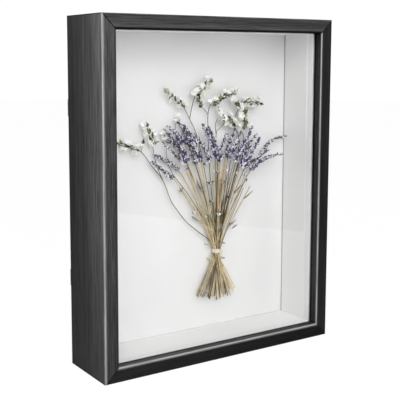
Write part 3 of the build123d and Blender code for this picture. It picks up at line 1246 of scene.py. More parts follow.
LAVENDER_HEADS = (
    Head((-23, 207), (-55, 227), Layer.BACK, 1, 0.90, 0.35),
    Head((-33, 199), (-60, 219), Layer.MIDDLE, 0, 0.94, 0.50),
    Head((-14, 238), (-40, 258), Layer.MIDDLE, 0, 0.95, 0.45),
    Head((-19, 228), (-40, 253), Layer.BACK, 0, 0.80, 0.25),
    Head((-18, 226), (-38, 244), Layer.BACK, 0, 0.80, 0.35),
    Head((-21, 216), (-48, 239), Layer.FRONT, 0, 0.75, 0.20),
    Head((-22, 214), (-31, 248), Layer.FRONT, 3, 1.15, 0.95),
    Head((-14, 216), (-26, 240), Layer.MIDDLE, 1, 1.10, 1.00),
    Head((-7, 234), (-22, 260), Layer.BACK, 1, 0.95, 0.45),
    Head((-2, 236), (-17, 257), Layer.MIDDLE, 0, 1.00, 0.50),
    Head((2, 216), (-15, 245), Layer.FRONT, 1, 1.10, 0.85),
    Head((0, 212), (-8, 238), Layer.BACK, 0, 0.95, 0.40),
    Head((17, 214), (-4, 246), Layer.MIDDLE, 3, 1.10, 0.60),
    Head((24, 219), (5, 257), Layer.FRONT, 1, 1.15, 0.80),
    Head((33, 222), (19, 252), Layer.BACK, 1, 1.05, 0.60),
    Head((28, 214), (37, 246), Layer.FRONT, 2, 1.05, 0.75),
    Head((43, 220), (57, 252), Layer.BACK, 1, 0.90, 0.45),
    Head((42, 217), (61, 246), Layer.MIDDLE, -1, 1.10, 0.95),
    Head((48, 213), (73, 251), Layer.FRONT, -1, 1.00, 0.80),
    Head((62, 222), (88, 243), Layer.BACK, -1, 0.75, 0.25),
    Head((61, 210), (75, 232), Layer.MIDDLE, 0, 1.05, 0.90),
    Head((58, 206), (84, 237), Layer.FRONT, -1, 1.10, 0.90),
    Head((68, 205), (99, 222), Layer.MIDDLE, 0, 0.95, 0.55),
    Head((96, 223), (134, 238), Layer.BACK, 5, 0.80, 0.15),
    Head((72, 201), (118, 218), Layer.FRONT, 5, 0.95, 0.40),
)


@dataclass(frozen=True)
class Whorl:
    """A ring of calyces on a stalk below its head.

    Attributes:
        place: Where it is on the card.
        layer: How far in front of the card it lies.
        calyces: How many there are.
        lean: Its stalk's lean from upright, in degrees, positive to the right.
    """

    place: Place
    layer: Layer
    calyces: int
    lean: float


LAVENDER_WHORLS = (
    Whorl((-5, 219), Layer.FRONT, 7, -22),
    Whorl((-18, 208), Layer.FRONT, 8, -26),
    Whorl((11, 213), Layer.MIDDLE, 6, -15),
    Whorl((22, 203), Layer.FRONT, 9, -8),
    Whorl((31, 200), Layer.BACK, 6, 0),
    Whorl((42, 203), Layer.MIDDLE, 9, 8),
    Whorl((38, 189), Layer.BACK, 8, 8),
    Whorl((56, 199), Layer.MIDDLE, 7, 18),
    Whorl((64, 197), Layer.FRONT, 10, 30),
    Whorl((70, 189), Layer.MIDDLE, 6, 26),
    Whorl((52, 177), Layer.MIDDLE, 6, 16),
    Whorl((45, 171), Layer.BACK, 6, 12),
    Whorl((-20, 184), Layer.BACK, 7, -35),
    Whorl((17, 190), Layer.MIDDLE, 6, -6),
    Whorl((10, 179), Layer.BACK, 6, -10),
    Whorl((22, 168), Layer.BACK, 5, 0),
    Whorl((-1, 157), Layer.BACK, 8, -30),
    Whorl((14, 151), Layer.MIDDLE, 8, -16),
    Whorl((27, 153), Layer.FRONT, 8, 0),
    Whorl((47, 138), Layer.MIDDLE, 5, 30),
)

# Thin leaves: foot and tip on the card, and the layer.
LAVENDER_LEAVES = (
    ((62, 168), (76, 178), Layer.FRONT),
    ((-5, 152), (9, 142), Layer.BACK),
    ((44, 136), (54, 144), Layer.MIDDLE),
    ((46, 134), (53, 138), Layer.FRONT),
    ((2, 58), (17, 63), Layer.FRONT),
    ((20, 140), (8, 156), Layer.FRONT),
    ((8, 182), (0, 196), Layer.BACK),
    ((49, 176), (60, 186), Layer.FRONT),
)


@dataclass
class Lavender(OnCard):
    """The lavender: stalks crossed at the tie, full heads, stray whorls and thin leaves.

    Attributes:
        tie: The middle of the tie, on the card.
        tie_in_front: Millimetres from the card to the middle of the tied bundle.
        bundle: Half the width and half the depth of the tied bundle.
        foot_height: Height of the cut ends.
        foot_spread: Half the width of the fanned cut ends.
        spare_stalks: Where stalks with no head end.
        spare_in_front: How far in front of the card each of those ends.
        waist: How far above and below the tie's middle the stalks run upright.
        head_rows: Points along the middle of a head.
        stalk_radius: Radius of a stalk at the tie.
        calyx_length: Length of a full calyx.
        calyx_radius: Radius of a full calyx.
        whorl_pitch: Whorl to whorl along a head.
        whorl_count: Calyces in a full whorl.
        root_opening: Angle from the stalk at which calyces stand at a head's root, in degrees.
        tip_closing: How much less that angle is at its tip.
        tip_taper: How much smaller the calyces are at its tip, as a share.
        calyx_seat: How far from the stalk's middle a calyx starts.
        seed: Starts the random draws.
    """

    tie: Place = (31.0, 107.8)
    tie_in_front: float = 5.9
    bundle: Place = (4.4, 3.1)
    foot_height: float = 50.0
    foot_spread: float = 27.0
    spare_stalks: tuple[Place, ...] = (
        (-20, 184), (33, 184), (38, 206), (52, 196), (62, 178), (24, 196), (75, 178), (30, 224),
        (47, 210), (28, 208), (40, 214), (36, 200), (54, 206), (34, 190), (66, 192), (44, 195),
    )
    spare_in_front: tuple[float, ...] = (
        6.5, 9.0, 12.0, 7.0, 14.0, 15.0, 9.0, 8.0, 9.0, 12.0, 7.0, 8.0, 13.0, 10.0, 11.0, 7.0,
    )
    waist: float = 1.6
    head_rows: int = 40
    stalk_radius: float = 0.00064
    calyx_length: float = 0.0034
    calyx_radius: float = 0.00078
    whorl_pitch: float = 2.5
    whorl_count: int = 9
    root_opening: float = 42.0
    tip_closing: float = 24.0
    tip_taper: float = 0.34
    calyx_seat: float = 0.0005
    seed: int = 7

    def head_path(self, head: Head) -> np.ndarray:
        """Draws the line along the middle of a head: through its root, a raised middle and its tip.

        Args:
            head: The head.

        Returns:
            The line's points, shape (rows, 3).
        """
        root, tip = np.array(head.root, float), np.array(head.tip, float)
        rise = unit(np.array([root[1] - tip[1], tip[0] - root[0]]))
        rise = rise if rise[1] > 0 else -rise
        middle = (root + tip) / 2 + rise * head.bow
        knots = np.stack([self.at(*p, head.layer.value) for p in (root, middle, tip)])
        return smooth_path(knots, self.head_rows)

    def stalks(self) -> Surface:
        """Sweeps square-cornered tubes from the cut ends, through the tie, to the tips of the heads.

        A stalk's radius shrinks evenly from the foot to the tip, and swells by a twelfth at its four corners.

        Returns:
            The stalks' surface.
        """
        rng = np.random.default_rng(self.seed)
        roots = [head.root for head in LAVENDER_HEADS] + list(self.spare_stalks)
        layers = [head.layer.value for head in LAVENDER_HEADS]
        layers += self.spare_in_front
        tips = [head.tip for head in LAVENDER_HEADS]
        tips += [(x + (x - self.tie[0]) * 0.04, z + 3) for x, z in self.spare_stalks]
        roots, tips = np.array(roots, float), np.array(tips, float)
        in_front = np.array(layers, float)
        count = len(roots)
        order = ranks(roots[:, 0])
        depth_order = ranks(in_front + rng.normal(0, 1.5, count))
        tie_order = ranks(order * 0.35 + rng.normal(0, 0.5, count))
        tie_x = self.tie[0] + tie_order * self.bundle[0]
        squeeze = np.sqrt(np.clip(1 - tie_order**2 * 0.8, 0.15, 1))
        tie_in_front = self.tie_in_front + depth_order * squeeze * self.bundle[1]
        foot_order = np.clip(-order * 0.92 + rng.normal(0, 0.12, count), -1, 1)
        foot_x = self.tie[0] - 1 + foot_order * self.foot_spread
        foot_z = self.foot_height + 7 * np.abs(foot_order) ** 1.5 + rng.uniform(-3.0, 2.5, count)
        foot_in_front = self.tie_in_front + 0.6 + rng.uniform(-4.4, 5.5, count)
        half_x = tie_x + (roots[:, 0] - tie_x) * 0.43 + rng.normal(0, 1.2, count)
        half_z = self.tie[1] + (roots[:, 1] - self.tie[1]) * 0.5
        bowed = (tips + roots) / 2
        bows = np.array([head.bow for head in LAVENDER_HEADS] + [0.0] * len(self.spare_stalks))
        bowed[:, 1] += bows
        fan_z, fan_in_front = (foot_z + self.tie[1]) / 2, (foot_in_front + tie_in_front) / 2
        ends = tips * 0.85 + bowed * 0.15
        knots = np.stack(
            [
                self.at(foot_x, foot_z, foot_in_front),
                self.at((foot_x + tie_x) / 2, fan_z, fan_in_front),
                self.at(tie_x, np.full(count, self.tie[1] - self.waist), tie_in_front),
                self.at(tie_x, np.full(count, self.tie[1] + self.waist), tie_in_front),
                self.at(half_x, half_z, (tie_in_front + in_front) / 2),
                self.at(*roots.T, in_front),
                self.at(*bowed.T, in_front),
                self.at(*ends.T, in_front),
            ],
            axis=1,
        )
        rows, sides = 56, 8
        path = smooth_path(knots, rows)
        along = np.linspace(0, 1, rows)
        corner = 1 + np.cos(np.arange(sides) * math.pi) / 12
        girth = self.stalk_radius * rng.uniform(0.8, 1.2, count)
        radius = girth[:, None, None] * (1.08 - 0.45 * along)[None, :, None] * corner
        tint = rng.uniform(0, 1, count)[:, None, None]
        return skin_rings(tube_rings(path, radius, sides), tint=tint, rise=along[None, :, None])

    def calyx(self) -> np.ndarray:
        """A calyx of unit length and radius: a barrel, narrow at the foot and drawn in below its mouth."""
        profile = np.array([[0.30, 0.0], [0.86, 0.18], [1.0, 0.48], [0.84, 0.80], [0.62, 0.98]])
        return turned_rings(profile, 6)

    def whorl_table(self, rng: np.random.Generator) -> dict[str, np.ndarray]:
        """Lays out every calyx: on the heads by whorls, and on the stray whorls.

        A calyx stands on the stalk's side, at an angle that opens from the tip of the head to its root.

        Args:
            rng: The random draws.

        Returns:
            Arrays named place, direction, length, girth and strength, one row for each calyx.
        """
        rows: dict[str, list[np.ndarray]] = {
            name: [] for name in ("place", "direction", "length", "girth", "strength")
        }
        for head in LAVENDER_HEADS:
            span = math.dist(head.root, head.tip)
            whorls = max(4, round(span / (self.whorl_pitch * (1.35 - 0.35 * head.fullness))))
            each = max(4, round(self.whorl_count * head.fullness))
            number = np.arange(whorls * each)
            whorl = number // each
            up_head = np.clip((whorl + rng.normal(0, 0.16, len(number))) / (whorls - 1), 0, 1)
            angle = (number % each) * (2 * math.pi / each) + whorl * 0.7 + rng.normal(0, 0.16, len(number))
            path = self.head_path(head)
            ahead, side, up = path_axes(path, (0.0, 1.0, 0.0))
            last = self.head_rows - 1
            at = np.clip((up_head * last).round().astype(int), 0, last)
            radial = np.cos(angle)[:, None] * side[at] + np.sin(angle)[:, None] * up[at]
            spread = self.root_opening - self.tip_closing * up_head**1.6
            opening = np.radians(spread + rng.normal(0, 7, len(number)))[:, None]
            taper = (1.0 - self.tip_taper * up_head**1.5) * head.fullness
            rows["place"].append(path[at] + radial * self.calyx_seat)
            rows["direction"].append(np.cos(opening) * ahead[at] + np.sin(opening) * radial)
            rows["length"].append(self.calyx_length * taper * rng.uniform(0.85, 1.15, len(number)))
            rows["girth"].append(self.calyx_radius * taper**0.5 * rng.uniform(0.85, 1.15, len(number)))
            strength = head.strength * (1.1 - 0.5 * up_head) + rng.normal(0, 0.12, len(number))
            rows["strength"].append(np.clip(strength, 0, 1))
        for whorl in LAVENDER_WHORLS:
            number = np.arange(whorl.calyces)
            lean = math.radians(whorl.lean)
            ahead = np.array([math.sin(lean), 0.0, math.cos(lean)])
            side = np.array([math.cos(lean), 0.0, -math.sin(lean)])
            angle = number * (2 * math.pi / whorl.calyces) + rng.normal(0, 0.3, len(number))
            radial = np.cos(angle)[:, None] * side + np.sin(angle)[:, None] * np.array([0.0, 1.0, 0.0])
            opening = np.radians(34 + rng.normal(0, 10, len(number)))[:, None]
            middle = self.at(*whorl.place, whorl.layer.value)
            rows["place"].append(middle + radial * 0.0006 - ahead * 0.0015)
            rows["direction"].append(np.cos(opening) * ahead + np.sin(opening) * radial)
            rows["length"].append(self.calyx_length * rng.uniform(0.90, 1.20, len(number)))
            rows["girth"].append(self.calyx_radius * rng.uniform(1.0, 1.25, len(number)))
            rows["strength"].append(np.clip(rng.normal(0.15, 0.15, len(number)), 0, 1))
        return {name: np.concatenate(parts) for name, parts in rows.items()}

    def calyces_and_florets(self) -> tuple[Surface, Surface]:
        """Copies the calyx to every place, and opens a small crumpled floret on some of them.

        Returns:
            The calyces' surface and the florets' surface.
        """
        rng = np.random.default_rng(self.seed + 1)
        table = self.whorl_table(rng)
        count = len(table["length"])
        roll = rng.uniform(0, math.pi, count)
        size = np.stack([table["girth"], table["girth"], table["length"]], axis=1)
        rings = place_copies(self.calyx(), table["direction"], roll, size, table["place"])
        tint = rng.uniform(0, 1, count)
        along = self.calyx()[:, 0, 2]
        calyces = skin_rings(
            rings,
            tint=tint[:, None, None],
            along=along[None, :, None],
            depth=table["strength"][:, None, None],
        )
        open_ones = rng.uniform(0, 1, count) < 0.04 + 0.26 * table["strength"]
        mouth = table["place"] + unit(table["direction"]) * table["length"][:, None] * 0.9
        profile = np.array([[0.5, 0.0], [0.62, 0.35], [1.25, 0.72], [0.55, 1.0]])
        shape = turned_rings(profile, 5)
        shape[2, :, 2] += 0.16 * np.cos(2 * math.pi * np.arange(5) * 2 / 5)
        small = rng.uniform(0.8, 1.25, count)
        floret_size = np.stack([0.00058 * small, 0.00058 * small, 0.0017 * small], axis=1)
        droop = table["direction"] + rng.normal(0, 0.25, (count, 3))
        floret_rings = place_copies(
            shape, droop[open_ones], roll[open_ones], floret_size[open_ones], mouth[open_ones]
        )
        florets = skin_rings(
            floret_rings,
            tint=tint[open_ones][:, None, None],
            along=profile[None, :, 1, None],
            depth=table["strength"][open_ones][:, None, None],
        )
        return calyces, florets

    def leaves(self) -> Surface:
        """Thin leaves: flat spindles, widest a third of the way up, bent a little to one side.

        Returns:
            The leaves' surface.
        """
        rng = np.random.default_rng(self.seed + 2)
        knots = []
        for foot, tip, layer in LAVENDER_LEAVES:
            start, end = self.at(*foot, layer.value), self.at(*tip, layer.value + 2)
            middle = (start + end) / 2 + rng.normal(0, 0.0008, 3)
            knots.append(np.stack([start, middle, end]))
        path = smooth_path(np.stack(knots), 14)
        along = np.linspace(0, 1, 14)
        sides = 6
        width = 0.0010 * np.sin(np.clip(along * 0.92 + 0.08, 0, 1) ** 0.7 * math.pi) + 0.00012
        angle = np.arange(sides) * (2 * math.pi / sides)
        flat = np.sqrt(np.cos(angle) ** 2 + 0.12 * np.sin(angle) ** 2)
        rings = tube_rings(path, width[:, None] * flat, sides)
        tint = rng.uniform(0, 1, len(knots))[:, None, None]
        return skin_rings(rings, tint=tint, along=along[None, :, None], depth=0 * tint)

    def build(self) -> None:
        """Builds and dresses the lavender."""
        stalk = DriedStem(
            "lavender_stalk", (0.82, 0.65, 0.34), (0.070, 0.048, 0.014), (0.250, 0.200, 0.120), 0.45
        )
        calyx = DriedBloom(
            "lavender_calyx",
            (0.120, 0.113, 0.112),
            (0.072, 0.064, 0.102),
            (0.052, 0.040, 0.155),
            (0.960, 0.945, 0.985),
            0.10,
        )
        floret = DriedBloom(
            "lavender_floret",
            (0.026, 0.022, 0.045),
            (0.030, 0.024, 0.065),
            (0.034, 0.022, 0.150),
            (0.160, 0.140, 0.300),
            0.15,
        )
        leaf = DriedBloom(
            "lavender_leaf",
            (0.150, 0.150, 0.080),
            (0.190, 0.180, 0.110),
            (0.190, 0.180, 0.110),
            (0.300, 0.270, 0.190),
            0.2,
        )
        body = "back_assembly"
        make_piece("lavender_stalks", self.stalks(), stalk.make(), body, ["lavender_stems"])
        calyces, florets = self.calyces_and_florets()
        make_piece("lavender_calyces", calyces, calyx.make(), body, ["lavender_spikes"])
        make_piece("lavender_florets", florets, floret.make(), body)
        make_piece("lavender_leaves", self.leaves(), leaf.make(), body)


# ---------------------------------------------------------------- statice


@dataclass(frozen=True)
class Twig:
    """A statice stem or twig.

    Attributes:
        knots: Places on the card that it passes, from its foot.
        in_front: Millimetres in front of the card.
        radius: Its radius at the foot, in millimetres.
    """

    knots: tuple[Place, ...]
    in_front: float
    radius: float = 0.45


@dataclass(frozen=True)
class Cluster:
    """A row of green bracts at the end of a twig, with papery cups on both sides of it.

    Attributes:
        start: Where the row starts on the card.
        end: Where it ends.
        in_front: Millimetres in front of the card.
        cups: How many white cups it has.
        bracts: How many bracts it has.
        facing: Where three cups in five face, in degrees from upright, positive to the right. The others
            face the opposite way.
        cup_width: Width of a cup's mouth, in millimetres.
        bract_length: Length of a bract, in millimetres.
    """

    start: Place
    end: Place
    in_front: float
    cups: int
    bracts: int
    facing: float
    cup_width: float = 7.0
    bract_length: float = 5.5


STATICE_TWIGS = (
    Twig(
        (
            (27, 111), (19, 122), (4, 133), (-12, 146), (-24, 160), (-34, 174),
            (-44, 197), (-60, 216), (-72, 231), (-86, 236), (-98, 240), (-105, 243),
        ),
        6.0,
        0.62,
    ),
    Twig(((-44, 197), (-52, 214), (-56, 228), (-58, 240), (-64, 254), (-68, 264)), 6.0),
    Twig(((-72, 231), (-71, 236), (-70, 242)), 6.0, 0.35),
    Twig(((24, 130), (-8, 176), (-32, 206), (-39, 226), (-38, 238), (-43, 247)), 5.0),
    Twig(((-24, 230), (-27, 250), (-26, 262), (-24, 268)), 5.0, 0.35),
    Twig(
        ((28, 130), (14, 200), (3, 243), (-8, 265), (-16, 279), (-24, 289), (-34, 296), (-43, 301)),
        5.5,
        0.55,
    ),
    Twig(((-8, 265), (-4, 281), (1, 294), (8, 303), (15, 308), (22, 311)), 5.5),
    Twig(((29, 130), (20, 200), (17, 254), (17, 269), (20, 280), (30, 287), (41, 291), (57, 295)), 6.5, 0.50),
    Twig(((17, 269), (12, 275), (7, 279), (0, 286)), 6.5),
    Twig(((31, 130), (28, 200), (29, 245), (34, 252), (40, 258)), 6.0),
    Twig(((29, 245), (28, 258), (34, 268)), 6.0),
    Twig(((33, 130), (60, 220), (61, 244), (51, 254), (44, 263)), 6.0),
    Twig(((34, 130), (66, 225), (67, 246), (69, 258), (67, 269), (58, 276), (53, 283)), 7.0, 0.50),
    Twig(((52, 258), (58, 272), (66, 284), (76, 286), (91, 281)), 8.0),
)

STATICE_CLUSTERS = (
    Cluster((-74, 233), (-105, 243), 6.5, 12, 19, -14, 6.4, 4.8),
    Cluster((-70, 238), (-70, 242), 6.5, 1, 3, 10, 4.8, 4.6),
    Cluster((-56, 236), (-66, 260), 6.5, 12, 22, -66, 6.6, 5.2),
    Cluster((-39, 240), (-43, 247), 5.5, 3, 2, -35, 6.0, 4.2),
    Cluster((-27, 258), (-24, 268), 5.5, 3, 3, -4, 5.6, 4.2),
    Cluster((-14, 277), (-43, 298), 6.0, 13, 18, 28, 5.2, 4.2),
    Cluster((-3, 290), (20, 309), 6.0, 12, 15, -46, 6.6, 4.8),
    Cluster((7, 278), (0, 287), 7.0, 2, 6, 20, 5.0, 5.4),
    Cluster((19, 279), (40, 291), 7.5, 8, 18, -12, 6.6, 5.4),
    Cluster((40, 290), (56, 294), 7.5, 8, 8, -10, 6.6, 4.6),
    Cluster((38, 255), (30, 274), 9.0, 9, 9, -30, 7.4, 5.0),
    Cluster((54, 252), (44, 266), 7.0, 6, 11, 20, 7.0, 5.2),
    Cluster((67, 248), (66, 272), 8.5, 9, 22, -80, 7.6, 5.8),
    Cluster((66, 270), (52, 284), 8.5, 7, 13, -50, 7.4, 5.6),
    Cluster((62, 282), (89, 281), 9.5, 13, 17, 8, 6.4, 4.8),
)


@dataclass
class Statice(OnCard):
    """The white statice: thin branching stems with papery cups and boat-shaped bracts.

    Attributes:
        cup_lobes: Lobes round a cup's mouth.
        seed: Starts the random draws.
    """

    cup_lobes: int = 5
    seed: int = 23

    def stems(self) -> Surface:
        """Sweeps round tubes along the twigs, thinner towards their ends.

        Returns:
            The twigs' surface.
        """
        rng = np.random.default_rng(self.seed)
        rows, sides = 40, 6
        along = np.linspace(0, 1, rows)
        parts = []
        for twig in STATICE_TWIGS:
            knots = np.stack([self.at(*knot, twig.in_front) for knot in twig.knots])
            path = smooth_path(knots, rows)[None]
            radius = twig.radius * MM * (1.0 - 0.45 * along)[None, :, None]
            tint = np.full((1, 1, 1), rng.uniform(0, 1))
            parts.append(skin_rings(tube_rings(path, radius, sides), tint=tint, rise=along[None, :, None]))
        return join_surfaces(parts)

    def cup(self) -> np.ndarray:
        """A papery cup of unit mouth radius: a fluted funnel, out to its lobed rim and back down inside.

        Its radius and height follow a profile, and swell with the cosine of the lobes' angle near the rim.

        Returns:
            The cup's rings.
        """
        profile = np.array(
            [
                [0.10, 0.00], [0.17, 0.35], [0.30, 0.80], [0.62, 1.18], [1.00, 1.40],
                [0.97, 1.46], [0.58, 1.22], [0.22, 0.95], [0.08, 0.80],
            ]
        )
        flute = np.array([0.0, 0.0, 0.06, 0.16, 0.22, 0.22, 0.16, 0.06, 0.0])
        sides = self.cup_lobes * 4
        rings = turned_rings(profile, sides)
        wave = np.cos(np.arange(sides) * (2 * math.pi / sides) * self.cup_lobes)
        rings[..., :2] *= (1 + flute[:, None] * wave)[..., None]
        rings[..., 2] -= flute[:, None] * wave * 0.6
        return rings

    def bract(self) -> np.ndarray:
        """A bract of unit length: a pointed boat, half as wide as it is long, with a flat cross-section."""
        rows, sides = 7, 6
        along = np.linspace(0, 1, rows)
        width = 0.23 * np.sin(math.pi * along**0.72) + 0.012
        rings = turned_rings(np.stack([width, along], axis=1), sides)
        rings[..., 1] = rings[..., 1] * 0.45 + 0.16 * np.sin(math.pi * along)[:, None] - 0.08
        return rings

    def heads(self) -> tuple[Surface, Surface]:
        """Sets out the cups along both sides of each row, and the bracts in front of its middle.

        Returns:
            The cups' surface and the bracts' surface.
        """
        rng = np.random.default_rng(self.seed + 1)
        cups, bracts = [], []
        for cluster in STATICE_CLUSTERS:
            start, end = np.array(cluster.start, float), np.array(cluster.end, float)
            run = unit(end - start)
            facing = math.radians(cluster.facing)
            out = np.array([math.sin(facing), math.cos(facing)])
            share = (np.arange(cluster.cups) + 0.5) / cluster.cups
            half = np.where(np.arange(cluster.cups) % 5 < 3, 1.0, -1.0)[:, None]
            flat = start + (end - start) * share[:, None] + rng.normal(0, 0.7, (cluster.cups, 2))
            flat += out * half * 1.2
            feet = self.at(*flat.T, cluster.in_front + rng.uniform(-1.0, 2.5, cluster.cups))
            swing = rng.normal(0, 0.42, cluster.cups)
            aimed = np.cos(swing)[:, None] * out * half + np.sin(swing)[:, None] * run * 0.9
            toward = rng.uniform(0.1, 0.9, cluster.cups)
            direction = np.stack([aimed[:, 0], -toward, aimed[:, 1]], axis=1)
            width = cluster.cup_width * MM / 2 * rng.uniform(0.78, 1.16, cluster.cups)
            size = np.stack([width, width, width * rng.uniform(0.95, 1.25, cluster.cups)], axis=1)
            roll = rng.uniform(0, 2 * math.pi, cluster.cups)
            cups.append((direction, roll, size, feet))
            share = (np.arange(cluster.bracts) + 0.3) / cluster.bracts
            flat = start + (end - start) * share[:, None] + rng.normal(0, 0.9, (cluster.bracts, 2))
            feet = self.at(*flat.T, cluster.in_front + rng.uniform(1.0, 4.6, cluster.bracts))
            lean = rng.normal(0.05, 0.6, cluster.bracts)[:, None]
            aimed = run * np.cos(lean) + out * np.sin(lean)
            toward = rng.normal(-0.2, 0.3, cluster.bracts)
            direction = np.stack([aimed[:, 0], toward, aimed[:, 1]], axis=1)
            length = cluster.bract_length * MM * rng.uniform(0.8, 1.35, cluster.bracts)
            size = np.stack([length, length, length], axis=1)
            roll = rng.uniform(0, 2 * math.pi, cluster.bracts)
            bracts.append((direction, roll, size, feet))
        return self.copied(self.cup(), cups, rng), self.copied(self.bract(), bracts, rng)

    def copied(
        self, shape: np.ndarray, rows: list[tuple[np.ndarray, ...]], rng: np.random.Generator
    ) -> Surface:
        """Copies a shape to every place in rows of (direction, roll, size, foot).

        Args:
            shape: The shape's rings.
            rows: The places, a batch at a time.
            rng: The random draws.

        Returns:
            The copies' surface.
        """
        direction, roll, size, feet = (np.concatenate(parts) for parts in zip(*rows))
        rings = place_copies(shape, direction, roll, size, feet)
        height = shape[..., 2].mean(axis=1)
        along = height / height.max()
        tint = rng.uniform(0, 1, len(roll))[:, None, None]
        depth = rng.uniform(0, 1, len(roll))[:, None, None]
        return skin_rings(rings, tint=tint, along=along[None, :, None], depth=depth)

    def build(self) -> None:
        """Builds and dresses the statice."""
        stem = DriedStem(
            "statice_stem", (0.150, 0.152, 0.070), (0.045, 0.046, 0.020), (0.090, 0.092, 0.036), 0.4
        )
        cup = DriedBloom(
            "statice_cup",
            (0.46, 0.46, 0.24),
            (0.97, 0.965, 0.93),
            (0.95, 0.93, 0.88),
            (0.98, 0.98, 0.97),
            0.1,
        )
        bract = DriedBloom(
            "statice_bract",
            (0.036, 0.036, 0.009),
            (0.090, 0.090, 0.027),
            (0.055, 0.046, 0.016),
            (0.260, 0.265, 0.130),
            0.1,
        )
        body = "back_assembly"
        make_piece("statice_twigs", self.stems(), stem.make(), body, ["statice_stems"])
        cups, bracts = self.heads()
        make_piece("statice_cups", cups, cup.make(), body, ["statice_flowers"])
        make_piece("statice_bracts", bracts, bract.make(), body)


# ---------------------------------------------------------------- twine


@dataclass
class TwineTie(OnCard):
    """The cream twine: turns wound round the bundle, a knot in front and two short tails.

    Attributes:
        middle: The tie's middle on the card.
        in_front: Millimetres from the card to the bundle's middle.
        half_width: Half the winding's width, in millimetres.
        half_depth: Half its depth.
        turns: How many turns it has.
        pitch: Turn to turn, in millimetres.
        radius: The twine's radius.
        lay: Length in which the two strands turn once round each other.
        knot_right: How far right of the tie's middle the knot is, in millimetres.
        knot_proud: How far the knot's middle stands in front of the turns.
        knot_size: Half the width of one of its loops.
    """

    middle: Place = (31.0, 107.6)
    in_front: float = 5.75
    half_width: float = 5.3
    half_depth: float = 4.9
    turns: int = 4
    pitch: float = 1.05
    radius: float = 0.00056
    lay: float = 0.0032
    knot_right: float = 2.2
    knot_proud: float = 0.9
    knot_size: float = 0.72

    def strand(self, path: np.ndarray, across: Sequence[float]) -> Surface:
        """Sweeps two twisted strands along a path.

        The outline is a circle swollen by a fifth along one diameter, and that diameter turns once in each
        lay of the path's length.

        Args:
            path: The middle of the twine, shape (rows, 3).
            across: A direction that the path never follows.

        Returns:
            The twine's surface.
        """
        sides = 10
        step = np.linalg.norm(np.diff(path, axis=0, prepend=path[:1]), axis=1)
        turn = np.cumsum(step) * (2 * math.pi / self.lay)
        angle = np.arange(sides) * (2 * math.pi / sides)
        wave = np.cos(2 * (angle[None, :] - turn[:, None] / 2))
        rings = tube_rings(path[None], (self.radius * (1 + 0.2 * wave))[None], sides, across)
        return skin_rings(rings, ply=((wave + 1) / 2)[None])

    def winding(self) -> np.ndarray:
        """The turns round the bundle: an oval helix, tilted a little, that starts and ends in front.

        Returns:
            The middle of the twine, shape (rows, 3).
        """
        a = np.linspace(0, self.turns * 2 * math.pi, self.turns * 72)
        x = self.middle[0] + self.half_width * np.sin(a)
        in_front = self.in_front + self.half_depth * np.cos(a)
        z = self.middle[1] + self.pitch * (a / (2 * math.pi) - self.turns / 2) + 0.45 * np.sin(a)
        return self.at(x, z, in_front)

    def knot(self) -> np.ndarray:
        """The knot: a small trefoil pressed flat against the front of the turns.

        Returns:
            The middle of the twine, shape (rows, 3).
        """
        a = np.linspace(0, 2 * math.pi, 120)
        x = self.middle[0] + self.knot_right + self.knot_size * (np.sin(a) + 2 * np.sin(2 * a))
        z = self.middle[1] + self.knot_size * (np.cos(a) - 2 * np.cos(2 * a))
        in_front = self.in_front + self.half_depth + self.knot_proud + 0.55 * np.sin(3 * a)
        return self.at(x, z, in_front)

    def tail(self, reach: Place, sag: float) -> np.ndarray:
        """Draws a tail of the twine, from the knot down on to the stalks.

        Args:
            reach: How far right of the knot and above it the tail ends, in millimetres.
            sag: How far it hangs below the straight line on the way.

        Returns:
            The middle of the tail, shape (rows, 3).
        """
        x, z = self.middle[0] + self.knot_right, self.middle[1]
        front = self.in_front + self.half_depth + self.knot_proud
        knots = [
            (x, z, front),
            (x + reach[0] * 0.5, z + reach[1] * 0.35 - sag, front + 0.5),
            (x + reach[0], z + reach[1], front - 2.2),
        ]
        placed = np.stack([self.at(*knot) for knot in knots])
        return smooth_path(placed, 40)

    def build(self) -> None:
        """Builds and dresses the tie."""
        parts = [
            self.strand(self.winding(), (0.0, 0.0, 1.0)),
            self.strand(self.knot(), (0.0, 1.0, 0.0)),
            self.strand(self.tail((3.6, -1.2), 0.4), (0.0, 1.0, 0.0)),
            self.strand(self.tail((1.6, -3.6), 0.2), (0.0, 1.0, 0.0)),
        ]
        surface = join_surfaces(parts)
        finish = CottonTwine().make()
        make_piece("twine_tie", surface, finish, "back_assembly", ["bouquet_tie"])


# ---------------------------------------------------------------- studio


@dataclass(frozen=True)
class Softbox:
    """A square studio light.

    Attributes:
        name: Its name.
        place: Where it stands.
        target: What it points at.
        size: Its side.
        power: Its power in watts.
    """

    name: str
    place: tuple[float, float, float]
    target: tuple[float, float, float]
    size: float
    power: float

    def build(self) -> None:
        """Adds the light."""
        lamp = bpy.data.lights.new(self.name, "AREA")
        lamp.shape = "SQUARE"
        lamp.size = self.size
        lamp.energy = self.power
        light = bpy.data.objects.new(self.name, lamp)
        direction = np.array(self.target) - np.array(self.place)
        light.location = self.place
        light.rotation_euler = (
            math.acos(-direction[2] / np.linalg.norm(direction)),
            0.0,
            math.atan2(direction[1], direction[0]) - math.pi / 2,
        )
        bpy.context.scene.collection.objects.link(light)


